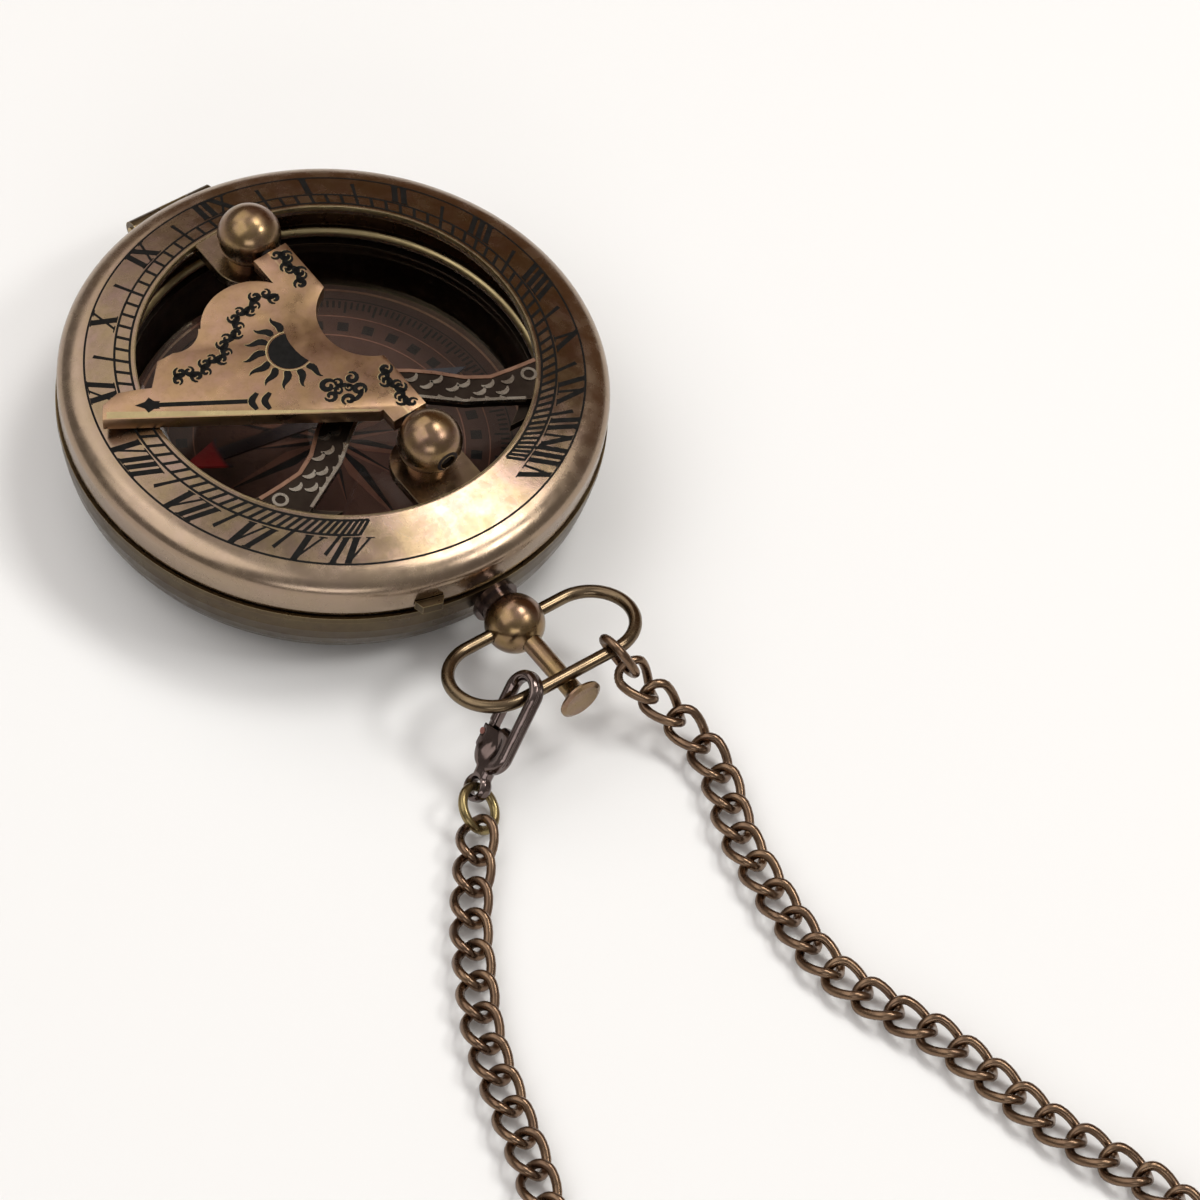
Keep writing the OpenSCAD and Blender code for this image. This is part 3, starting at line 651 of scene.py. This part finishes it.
# Letters of the numerals: width, bars (x, y at the foot; x, y at the top; thickness) and serifs (x, y)
LETTER_H = 3.1
LETTER_LIFT = 0.03
BAR_LIFT = 0.003
SERIF_HALF = (0.5, 0.02)
SERIF_INSET = 0.025
SERIF_LIFT = 0.038
LETTERS = {
    "I": (1.12, [(0.56, 0, 0.56, 1, 0.74)], [(0.55, 0), (0.55, 1)]),
    "V": (2.6, [(1.3, 0, 0.55, 1, 0.8), (1.3, 0, 2.15, 1, 0.34)], [(0.55, 1), (2.15, 1)]),
    "X": (2.5, [(2.05, 0, 0.5, 1, 0.8), (0.45, 0, 2.0, 1, 0.34)],
          [(2.05, 0), (0.45, 0), (0.5, 1), (2.0, 1)]),
}


def numeral(text, hour):
    """Letters with their feet outwards, leaning along the hour's line."""
    spot, way = hour_point(hour, NUMERAL_R)
    out = spot.normalized()
    across = Vector((-out.y, out.x))
    lean = way / way.dot(out)
    start = -sum(LETTERS[letter][0] for letter in text) / 2

    def on_hour(x, y, lift):
        at = spot + across * x - lean * (y - 0.5) * LETTER_H
        return on_lid(at.x, at.y, lift)

    for letter in text:
        step, bars, serifs = LETTERS[letter]
        for j, (x0, y0, x1, y1, thick) in enumerate(bars):
            line = [(start + x0 + (x1 - x0) * t, y0 + (y1 - y0) * t) for t in (0, 0.25, 0.5, 0.75, 1)]
            left = [(x - thick / 2, y) for x, y in line]
            right = [(x + thick / 2, y) for x, y in line]
            strip(scale, left, right, on_hour, LETTER_LIFT + BAR_LIFT * j)
        for x, y in serifs:
            inset = SERIF_INSET if y == 0 else -SERIF_INSET
            left = [(start + x - SERIF_HALF[0], y + side * SERIF_HALF[1] + inset) for side in (-1, 1)]
            right = [(start + x + SERIF_HALF[0], y + side * SERIF_HALF[1] + inset) for side in (-1, 1)]
            strip(scale, left, right, on_hour, SERIF_LIFT)
        start += step


for k, text in enumerate(NUMERALS):
    numeral(text, k - 8)
piece("lid_hour_scale", scale, INK, "lid", False)

# Gnomon: the plate with softened edges, a bright strip on the style edge, and its ornament
GNOMON_TILT = math.radians(6.38)
GNOMON_AXIS_Z = 22.9
PLATE_HALF = 0.95
PLATE_SOFT = 0.14


def soften_edges(mesh, width):
    work = bmesh.new()
    work.from_mesh(mesh)
    bmesh.ops.remove_doubles(work, verts=work.verts, dist=1e-6)
    bmesh.ops.dissolve_limit(work, angle_limit=math.radians(1), verts=work.verts, edges=work.edges)
    sharp = [e for e in work.edges if len(e.link_faces) == 2 and e.calc_face_angle(0) > math.radians(30)]
    bmesh.ops.bevel(work, geom=sharp, offset=width * MM, segments=2, affect="EDGES", profile=0.5,
                    clamp_overlap=True)
    work.to_mesh(mesh)
    work.free()
    smooth_over(mesh, PLATE_SHARP)


plate_mesh = node_mesh("gnomon_plate")
soften_edges(plate_mesh, PLATE_SOFT)
plate = bring_in("gnomon_softened", plate_mesh, GNOMON, "gnomon")
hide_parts("gnomon_plate")

STYLE_FOOT = Vector((2.56, -12.2))
STYLE_TIP = Vector((29.0, 5.64))
STYLE_LEN = 31.9
STYLE_LIFT = 0.008
style = (STYLE_TIP - STYLE_FOOT).normalized()
style_in = Vector((-style.y, style.x))


def on_plate(x, y, lift):
    """A point on the plate's upper face; x runs from the axis to the style's tip."""
    high = PLATE_HALF + lift
    return (-math.cos(GNOMON_TILT) * x - math.sin(GNOMON_TILT) * high, y,
            GNOMON_AXIS_Z - math.sin(GNOMON_TILT) * x + math.cos(GNOMON_TILT) * high)


def on_style(run, depth):
    """A place on the plate from the run along the style edge and the depth behind it."""
    spot = STYLE_FOOT + style * run + style_in * depth
    return (spot.x, spot.y)


edge_shape = Shape()
runs = np.linspace(0.2, 31.4, 12)
strip(edge_shape, [on_style(s, 0.3 + 0.8 * (s / STYLE_LEN)) for s in runs],
      [on_style(s, 0.12) for s in runs], on_plate, STYLE_LIFT)
piece("style_edge_strip", edge_shape, WEAR_AND_HIGHLIGHT_BRASS, "gnomon", False)

# Painted highlights: a bright stroke under each inked one, shifted to one side, stands for light catching
# one wall of the engraved cut
INK_LIFT = 0.03
HIGHLIGHT_LIFT = 0.018
HIGHLIGHT_SHIFT = (0.035, 0.04)
WIDE_HIGHLIGHT = 0.05
THIN_HIGHLIGHT = 0.03
ornament = Shape()
ornament_highlights = Shape()


def inked(line, widths, highlight_extra):
    """A dark stroke with one width per point, and under it a painted highlight, wider by the extra and
    shifted to one side, for light on one wall of the cut.
    """
    stroke(ornament, line, widths, on_plate, INK_LIFT)
    shifted = [(x + HIGHLIGHT_SHIFT[0], y + HIGHLIGHT_SHIFT[1]) for x, y in line]
    stroke(ornament_highlights, shifted, [w + highlight_extra for w in widths], on_plate, HIGHLIGHT_LIFT)


# Arrow beside the style edge: a shaft, two feathers and a leafy head of points (degrees, radius)
SHAFT_W = 0.6
HEAD_AT = (26.2, 1.85)
HEAD_LIFT = 0.032
HEAD_POINTS = ((0, 1.95), (30, 0.95), (70, 1.15), (112, 0.6), (150, 1.05), (180, 0.7), (210, 1.05),
               (248, 0.6), (290, 1.15), (330, 0.95))
FEATHER_BOW = 0.34
FEATHER_WIDTHS = [0.5, 0.62, 0.74, 0.82, 0.84, 0.82, 0.74, 0.62, 0.5]
inked([on_style(s, 2.15 - 0.012 * s) for s in np.linspace(15.2, 26.2, 6)], [SHAFT_W] * 6, WIDE_HIGHLIGHT)
for run in (14.4, 12.9):
    feather = [on_style(run + FEATHER_BOW * math.cos(math.pi * t), 1.95 + 1.5 * t)
               for t in np.linspace(-0.78, 0.78, 9)]
    inked(feather, FEATHER_WIDTHS, WIDE_HIGHLIGHT)
patch(ornament, [on_style(*polar(r, a, *HEAD_AT)) for a, r in HEAD_POINTS], on_plate, HEAD_LIFT)

# Half sun with wavy rays, each from its foot to its tip
SUN = (6.05, 1.0)
SUN_R = 2.55
SUN_RIM_R = 2.8
SUN_RIM_W = 0.12
SUN_LIFT = 0.034
SUN_RIM_LIFT = 0.036
SUN_HOLLOW = [(5.36, 2.6), (5.5, 1.7), (5.5, 0.6), (5.36, -0.5)]
RAYS = (
    (5.45, 3.95, 5.1, 6.25), (6.55, 4.0, 7.65, 6.05), (7.65, 3.4, 9.75, 4.95),
    (8.5, 2.35, 11.3, 3.05), (8.95, 1.2, 11.8, 0.7), (8.85, 0.05, 11.05, -1.55),
    (8.05, -1.05, 9.55, -3.25), (6.85, -1.75, 7.45, -4.25), (5.75, -1.85, 4.85, -4.15))
RAY_SWING = 0.26
RAY_WAVES = 0.9
RAY_WIDTHS = [0.5, 0.85, 0.92, 0.86, 0.74, 0.6, 0.44, 0.27, 0.06]
EIGHTHS = np.linspace(0, 1, 9)


def swung(x0, y0, x1, y1, swings):
    """Places on a line from one end to the other, each moved aside by its swing."""
    long = math.hypot(x1 - x0, y1 - y0)
    nx = -(y1 - y0) / long
    ny = (x1 - x0) / long
    return [(x0 + (x1 - x0) * t + nx * swing, y0 + (y1 - y0) * t + ny * swing)
            for t, swing in zip(EIGHTHS, swings)]


patch(ornament, arc(*SUN, SUN_R, -112, 112, 30) + SUN_HOLLOW, on_plate, SUN_LIFT)
# Painted highlight round the sun's edge
stroke(ornament_highlights, arc(*SUN, SUN_RIM_R, -110, 110, 30), SUN_RIM_W, on_plate, SUN_RIM_LIFT)
for k, ray in enumerate(RAYS):
    swing = RAY_SWING if k < 4 else -RAY_SWING
    ray_line = swung(*ray, [swing * math.sin(2 * math.pi * t * RAY_WAVES) for t in EIGHTHS])
    inked(ray_line, RAY_WIDTHS, WIDE_HIGHLIGHT)

# Scrolls: pairs of curls along a path
CURL_SWEEP = 400
CURL_SHRINK = 0.72


def curl(cx, cy, size, turn, hand):
    """A small spiral leaf."""
    parts = np.linspace(0, 1, 15)
    line = [polar(size * (1 - CURL_SHRINK * t), turn + hand * CURL_SWEEP * t, cx, cy) for t in parts]
    inked(line, [size * (0.22 + 0.56 * math.sin(math.pi * t) ** 0.7) for t in parts], THIN_HIGHLIGHT)


def tendril(x0, y0, x1, y1, swing, width):
    """A bowed stem, thickest in the middle."""
    line = swung(x0, y0, x1, y1, [swing * math.sin(math.pi * t) for t in EIGHTHS])
    inked(line, [0.12 + width * math.sin(math.pi * t) for t in EIGHTHS], THIN_HIGHLIGHT)


def scroll_chain(path, size):
    """Leafy curls in turn on both sides of a wavy stem."""
    for k in range(len(path) - 1):
        (x0, y0), (x1, y1) = path[k:k + 2]
        heading = math.atan2(y1 - y0, x1 - x0)
        hand = 1 if k % 2 else -1
        tendril(x0, y0, x1, y1, 0.5 * size * hand, 0.5 * size)
        for step, off, part in ((0.3, 0.75, 1.0), (0.75, -0.6, 0.8)):
            cx = x0 + (x1 - x0) * step - off * size * hand * math.sin(heading)
            cy = y0 + (y1 - y0) * step + off * size * hand * math.cos(heading)
            curl(cx, cy, size * part, math.degrees(heading) + (90 if off > 0 else -90) * hand, -hand)


scroll_chain([(2.5, 8.6), (4.3, 9.4), (6.2, 9.2), (7.9, 8.6), (9.5, 7.5), (11.1, 6.2), (12.7, 5.3),
              (14.4, 4.9), (16.1, 4.6), (17.7, 5.3), (19.3, 5.6)], 0.74)
scroll_chain([(-1.1, 8.0), (-0.7, 9.5), (-1.2, 11.0), (-0.7, 12.4), (-1.0, 13.7)], 0.76)
scroll_chain([(-0.8, -7.2), (-1.1, -8.8), (-0.6, -10.4), (-1.1, -12.0), (-0.7, -13.6)], 0.76)
for cx, cy, size, turn, hand in (
        (5.35, -5.7, 0.95, 200, -1), (4.2, -6.0, 0.6, 60, 1), (5.9, -7.1, 0.75, 20, -1),
        (2.5, -6.3, 0.8, 100, 1), (2.7, -8.2, 0.85, 250, -1), (4.5, -8.7, 0.8, 330, 1),
        (4.8, -6.9, 0.55, 140, 1), (3.5, -7.3, 0.5, 40, -1)):
    curl(cx, cy, size, turn, hand)
tendril(2.9, -7.4, 5.2, -6.4, 0.3, 0.5)
tendril(2.2, -8.3, 4.6, -9.1, -0.35, 0.5)
piece("gnomon_ornament", ornament, INK, "gnomon", False)
# The bright strokes of the ornament are painted highlights
piece("gnomon_ornament_painted_highlights", ornament_highlights, WEAR_AND_HIGHLIGHT_BRASS, "gnomon", False)

# Bracket ornament: a border strip above and below, two rows of raised crescents, a ring at each end
UPPER = [(0.4, -2.85), (6.0, -6.25), (8.3, -8.05), (10.9, -10.55), (13.5, -12.05),
         (16.5, -12.45), (19.5, -12.72)]
LOWER = [(0.4, -6.7), (5.05, -10.25), (8.92, -13.42), (11.5, -14.8), (15.2, -16.85)]
TEETH_FROM = 5.1
TEETH_TO = 14.2
CRESCENT_FROM = 5.6
CRESCENT_STEP = 2.35
CRESCENT_SHIFT = 0.9
CRESCENT_DEPTHS = (1.15, 2.35)
CRESCENT_R = 0.88
CRESCENT_RISE = 0.45
END_RING = (17.6, -14.1)
END_RING_R = (0.62, 0.98)
STRIP_LIFT = 0.12
STRIP_FOOT = -0.45
CRESCENT_LIFT = 0.14
TOOTH_LIFT = 0.16


def on_bracket(x, y, lift):
    return (x, y, LID_TOP + lift)


def border_y(border, x):
    return np.interp(x, [p[0] for p in border], [p[1] for p in border])


bracket_relief = Shape()
bracket_border = Shape()
crescent_widths = [0.12 + 0.5 * math.sin(math.pi * t) for t in np.linspace(0, 1, 13)]
for hand in (1, -1):
    stroke(bracket_border, [(hand * x, y) for x, y in UPPER], 0.5, on_bracket, STRIP_LIFT)
    stroke(bracket_relief, [(hand * x, y) for x, y in LOWER], 0.4, on_bracket, STRIP_LIFT, STRIP_FOOT)
    for k in range(1, 6):
        x = TEETH_FROM + (TEETH_TO - TEETH_FROM) * (k / 6)
        y = border_y(LOWER, x)
        tooth = [(hand * (x - 0.5), y + 0.02), (hand * (x + 0.55), y - 0.2), (hand * (x + 0.15), y + 0.5)]
        patch(bracket_relief, tooth, on_bracket, TOOTH_LIFT)
    for row, depth in enumerate(CRESCENT_DEPTHS):
        for k in range(5 - row):
            x = CRESCENT_FROM + CRESCENT_STEP * k + CRESCENT_SHIFT * row
            y = border_y(UPPER, x) - depth
            crescent = arc(hand * x, y + CRESCENT_RISE, CRESCENT_R, 200, 340, 12)
            stroke(bracket_relief, crescent, crescent_widths, on_bracket, CRESCENT_LIFT)
    hoop(bracket_relief, hand * END_RING[0], END_RING[1], *END_RING_R, 24, on_bracket, CRESCENT_LIFT)
piece("bracket_relief", bracket_relief, SILVER, "lid", False)
piece("bracket_border", bracket_border, COPPER, "lid", False)

# Dial card: degree ticks, border lines, a ring of square dots and a pointed rose
CARD_TOP = 3.55
TICK_IN = 20.5
TEN_IN = 19.8
TICK_OUT = 21.6
CARD_TICK_W = 0.3
MARK_LIFT = 0.012
BORDER_LIFT = 0.014
DOT_RING = 17.6
DOT_R = 0.95
ROSE_IN = 0.3
# Arms of the rose in turn: radius of the tip, radius of the waist, lift
ROSE_ARMS = [(15.4, 5.72, 0.02), (10.5, 2.86, 0.016), (13.2, 4.42, 0.016), (10.5, 2.86, 0.016)]


def on_card(x, y, lift):
    return (x, y, CARD_TOP + lift)


card_ink = Shape()
card_line = Shape()
card_tone = Shape()
for degree in range(0, 360, 2):
    inner = TEN_IN if degree % 10 == 0 else TICK_IN
    stroke(card_ink, [polar(inner, degree), polar(TICK_OUT, degree)], CARD_TICK_W, on_card, MARK_LIFT)
for degree in range(0, 360, 10):
    dot_at = polar(DOT_RING, degree)
    patch(card_ink, [polar(DOT_R, degree + a, *dot_at) for a in (45, 135, 225, 315)], on_card, MARK_LIFT)
for r, width, shape in ((23.3, 0.3, card_line), (21.9, 0.16, card_ink), (19.2, 0.14, card_line),
                        (16.2, 0.16, card_line)):
    hoop(shape, 0, 0, r - width / 2, r + width / 2, 144, on_card, BORDER_LIFT)
for k in range(16):
    heading = 22.5 * k
    tip_r, waist_r, lift = ROSE_ARMS[k % 4]
    for hand, shape in ((1, card_ink), (-1, card_tone)):
        waist = polar(waist_r, heading + 11.25 * hand)
        patch(shape, [polar(ROSE_IN, heading), waist, polar(tip_r, heading)], on_card, lift)
piece("card_print", card_ink, CARD_INK, "case", False)
piece("card_rose", card_tone, CARD_TONE, "case", False)
piece("card_lines", card_line, CARD_LINE, "case", False)

# Clasp and gate lever: castings with soft edges, in the clasp's own frame as in the CAD source
CLASP_PLACE = (Matrix.Translation((-7, -47.394, 11.08)) @ Matrix.Rotation(math.radians(-157.8), 4, "Z")
               @ Matrix.Rotation(math.radians(44.4), 4, "Y") @ Matrix.Rotation(math.radians(210.3), 4, "X")
               @ Matrix.Rotation(math.radians(90), 4, "Z"))
EYE_TOP = 0.9
EYE_R = 1.4
EYE_LEN = 4.4
CLASP_HALF = 2.7
BELLY_Y = -6.6
TAIL_Y = -11.2
TAIL_R = 1.75
TAIL_HOLE_R = 0.95
TAIL_NECK = (-1.1, 1.1, -10.2, -7.2)
LIMB_R = 0.65
THINNEST = 0.12
SLOT_HALF = 0.75
SLOT_X = 0.2
SLOT_Y = (-7, -3.9)
CHEEK_SHARE = 0.88
# Fades are (start, width), mounds are (place, size)
GROOVE_DEPTH = 0.2
GROOVE_HALF = 0.24
GROOVE_FROM = (2.05, 0.4)
GROOVE_END = (-8.6, 1.2)
HOLLOW = ((-0.5, -5.9), (0.7, 1.5))
HOLLOW_DEPTH = 0.55
BULB = ((1.1, -7.4), (0.75, 1.1))
BULB_RISE = 0.3


def regrid(made, grain, passes):
    """Rebuilds a mesh on a grid of this size and smooths it."""
    grid = made.modifiers.new("grid", "REMESH")
    grid.mode = "VOXEL"
    grid.voxel_size = grain * MM
    grid.use_smooth_shade = True
    soft = made.modifiers.new("soft", "SMOOTH")
    soft.factor = 0.5
    soft.iterations = passes
    done = bpy.data.meshes.new_from_object(made.evaluated_get(bpy.context.evaluated_depsgraph_get()))
    made.modifiers.clear()
    made.data = done


def box_gap(x, y, x0, x1, y0, y1):
    return np.maximum(np.maximum(x0 - x, x - x1), np.maximum(y0 - y, y - y1))


def clasp_gap(x, y):
    """Distance outside the clasp's flat outline, negative inside."""
    solid = np.hypot(x, y - EYE_TOP) - CLASP_HALF
    solid = np.minimum(solid, box_gap(x, y, -CLASP_HALF, CLASP_HALF, BELLY_Y, EYE_TOP))
    solid = np.minimum(solid, np.hypot(x, y - BELLY_Y) - CLASP_HALF)
    solid = np.minimum(solid, box_gap(x, y, *TAIL_NECK))
    solid = np.minimum(solid, np.hypot(x, y - TAIL_Y) - TAIL_R)
    hole = np.hypot(x, y - EYE_TOP) - EYE_R
    hole = np.minimum(hole, box_gap(x, y, -EYE_R, EYE_R, EYE_TOP - EYE_LEN, EYE_TOP))
    hole = np.minimum(hole, np.hypot(x, y - TAIL_Y) - TAIL_HOLE_R)
    return np.maximum(solid, -hole)


def fade(value, start, width):
    """Zero up to the start and one beyond the width."""
    return np.clip((value - start) / width, 0, 1)


def mound(x, y, at, size):
    """One at a place, falling off smoothly over a size in x and y."""
    return np.exp(-((x - at[0]) / size[0]) ** 2 - ((y - at[1]) / size[1]) ** 2)


def round_section(x, y, z, slotted):
    """Rounds the limbs; the cheeks beside the gate's slot keep their thickness."""
    depth = np.clip(-clasp_gap(x, y), 0, LIMB_R) / LIMB_R
    share = np.sqrt(1 - (1 - np.maximum(depth, THINNEST)) ** 2)
    if slotted:
        cheek = np.where(np.abs(z) < SLOT_HALF, 1, np.maximum(share, CHEEK_SHARE))
        share = np.where((x > SLOT_X) & (y > SLOT_Y[0]) & (y < SLOT_Y[1]), cheek, share)
    return z * share


def groove_side(x, y, z):
    """A groove between two ridges along the clasp's outer side."""
    across = np.hypot(x, np.maximum(y - EYE_TOP, 0))
    outer = fade(across, *GROOVE_FROM) * fade(y, *GROOVE_END)
    push = GROOVE_DEPTH * outer * np.exp(-(z / GROOVE_HALF) ** 2)
    return x * (1 - push / np.maximum(across, 1))


def shape_belly(x, y, z):
    """A hollow and a bulb on the front face of the clasp's belly."""
    z = np.where(z < 0, z + HOLLOW_DEPTH * mound(x, y, *HOLLOW), z)
    return np.where(z < 0, z - BULB_RISE * mound(x, y, *BULB), z)


def sculpt(made, slotted):
    """Gives a flat clasp part a round section, and the clasp's body its groove and belly."""
    put = np.array(CLASP_PLACE)
    points = np.array([v.co for v in made.data.vertices]) / MM
    x, y, z = ((points - put[:3, 3]) @ put[:3, :3]).T
    z = round_section(x, y, z, slotted)
    if slotted:
        x = groove_side(x, y, z)
        z = shape_belly(x, y, z)
    points = (np.stack([x, y, z], 1) @ put[:3, :3].T + put[:3, 3]) * MM
    made.data.vertices.foreach_set("co", points.ravel())
    made.data.update()


def casting(node_name, name, body, first_grid, last_grid):
    """A clasp part cast in one; a grid is its size and its smoothing passes."""
    made = bring_in(name, node_mesh(node_name), CLASP, body)
    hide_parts(node_name)
    regrid(made, *first_grid)
    sculpt(made, node_name == "clasp_body")
    regrid(made, *last_grid)
    return made


clasp = casting("clasp_body", "clasp_casting", "chain", (0.09, 6), (0.08, 10))
gate = casting("clasp_lever", "gate_casting", "lever", (0.07, 5), (0.07, 6))


# Springs of the button and the lever, each with a mesh of its own; the real springs shorten as the button
# and the lever are pressed
def coil(coil_r, wire_r, length, turns, where):
    line = []
    for t in np.linspace(0, turns, 24 * turns + 1):
        turn = 2 * math.pi * t
        line.append((coil_r * math.cos(turn), coil_r * math.sin(turn),
                     wire_r + (length - 2 * wire_r) * t / turns))
    shape = Shape()
    shape.tube([where @ Vector(p) for p in line], [wire_r] * len(line), 8)
    return shape


PENDANT_Z = 9
SPRING_END = 35.0
spring_foot = Matrix.Translation((0, -SPRING_END, PENDANT_Z)) @ Matrix.Rotation(math.pi / 2, 4, "X")
button_coil = coil(coil_r=1.02, wire_r=0.13, length=3.05, turns=5, where=spring_foot)
spring = piece("button_coil", button_coil, STEEL, "case")
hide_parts("button_spring")
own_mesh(spring)
gate_foot = CLASP_PLACE @ Matrix.Translation((1.925, -6.78, 0)) @ Matrix.Rotation(-math.pi / 2, 4, "X")
gate_coil = coil(coil_r=0.3, wire_r=0.09, length=0.71, turns=3, where=gate_foot)
gate_spring = piece("gate_coil", gate_coil, STEEL, "chain")
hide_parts("clasp_spring")
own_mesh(gate_spring)

# Rough end of the pivot pin's hole in the ball nearest the pendant, its two edges sunk in the ball
BALL_R = 3.8
HOLE_OPEN = 14.6
HOLE_SPREAD = 1.3
HOLE_RINGS = 7
HOLE_STEPS = 36
HOLE_LIFT = 0.012
HOLE_SINK = 0.02
hole = Shape()
hole_points = []
hole_faces = []
for ring in range(HOLE_RINGS):
    lift = -HOLE_SINK if ring in (0, HOLE_RINGS - 1) else HOLE_LIFT
    deep, wide = polar(BALL_R + lift, HOLE_OPEN + HOLE_SPREAD * ring)
    for k in range(HOLE_STEPS):
        x, z = polar(wide, 360 * k / HOLE_STEPS)
        hole_points.append((x, -POST_Y - deep, GNOMON_AXIS_Z + z))
        if ring:
            near = HOLE_STEPS * (ring - 1)
            far = HOLE_STEPS * ring
            j = (k + 1) % HOLE_STEPS
            hole_faces.append((near + k, near + j, far + j, far + k))
hole.add(hole_points, hole_faces)
piece("pin_hole_rim", hole, HOLE, "lid")

# Floor and light
bpy.ops.mesh.primitive_plane_add(size=6, location=(0, 0, -0.00005))
floor = bpy.context.object
floor.name = "floor"
floor_look, floor_tree, floor_shader = node_material("pale_floor")
feed(floor_tree, floor_shader, {"Base Color": grey(0.86), "Roughness": 0.75})
floor.data.materials.append(floor_look)


def soft_light(name, at, size, power, tint):
    """A rectangular lamp that faces the compass; its place and size are in metres."""
    light = bpy.data.lights.new(name, "AREA")
    light.shape = "RECTANGLE"
    light.size, light.size_y = size
    light.energy = power
    light.color = tint
    lamp = bpy.data.objects.new(name, light)
    bpy.context.scene.collection.objects.link(lamp)
    lamp.location = at
    lamp.rotation_euler = (-Vector(at)).to_track_quat("-Z", "Y").to_euler()


soft_light("overhead", at=(0.35, -0.02, 0.8), size=(0.3, 0.24), power=2.4, tint=(1, 0.99, 0.96))
soft_light("front_right", at=(0.38, -0.42, 0.66), size=(0.24, 0.16), power=1.5, tint=(1, 0.99, 0.96))
soft_light("window", at=(-0.04, 0.64, 0.72), size=(0.8, 0.6), power=1.9, tint=(1, 0.97, 0.94))
soft_light("left_sky", at=(-0.52, 0.15, 0.75), size=(0.7, 0.7), power=2.2, tint=(1, 0.98, 0.96))
soft_light("low_front", at=(-0.5, -0.7, 0.35), size=(0.5, 0.25), power=0.9, tint=(0.97, 0.98, 1))

# World: a pale dome with a dim warm side to the right of the compass
DIM_WAY = (0.83, 0.52, 0.2)
DIM_COLOUR = (0.17, 0.095, 0.05)
world = bpy.data.worlds.new("studio")
bpy.context.scene.world = world
world.use_nodes = True
sky = world.node_tree
direction = add(sky, "ShaderNodeTexCoord", {}).outputs["Generated"]
height = add(sky, "ShaderNodeSeparateXYZ", {0: direction}).outputs["Z"]
dome = ramp(sky, height, [(0.0, (0.30, 0.28, 0.265)), (0.5, (0.26, 0.24, 0.225)), (0.8, (0.42, 0.41, 0.40)),
                          (0.95, (0.62, 0.60, 0.58))])
dim = add(sky, "ShaderNodeVectorMath", {0: direction, 1: DIM_WAY}, operation="DOT_PRODUCT")
dim_side = ramp(sky, dim.outputs["Value"], [(0.5, BLACK), (0.88, WHITE)])
feed(sky, sky.nodes["Background"], {"Color": mix(sky, dim_side, dome, DIM_COLOUR), "Strength": 1.0})
bpy.context.scene.view_settings.view_transform = "Standard"
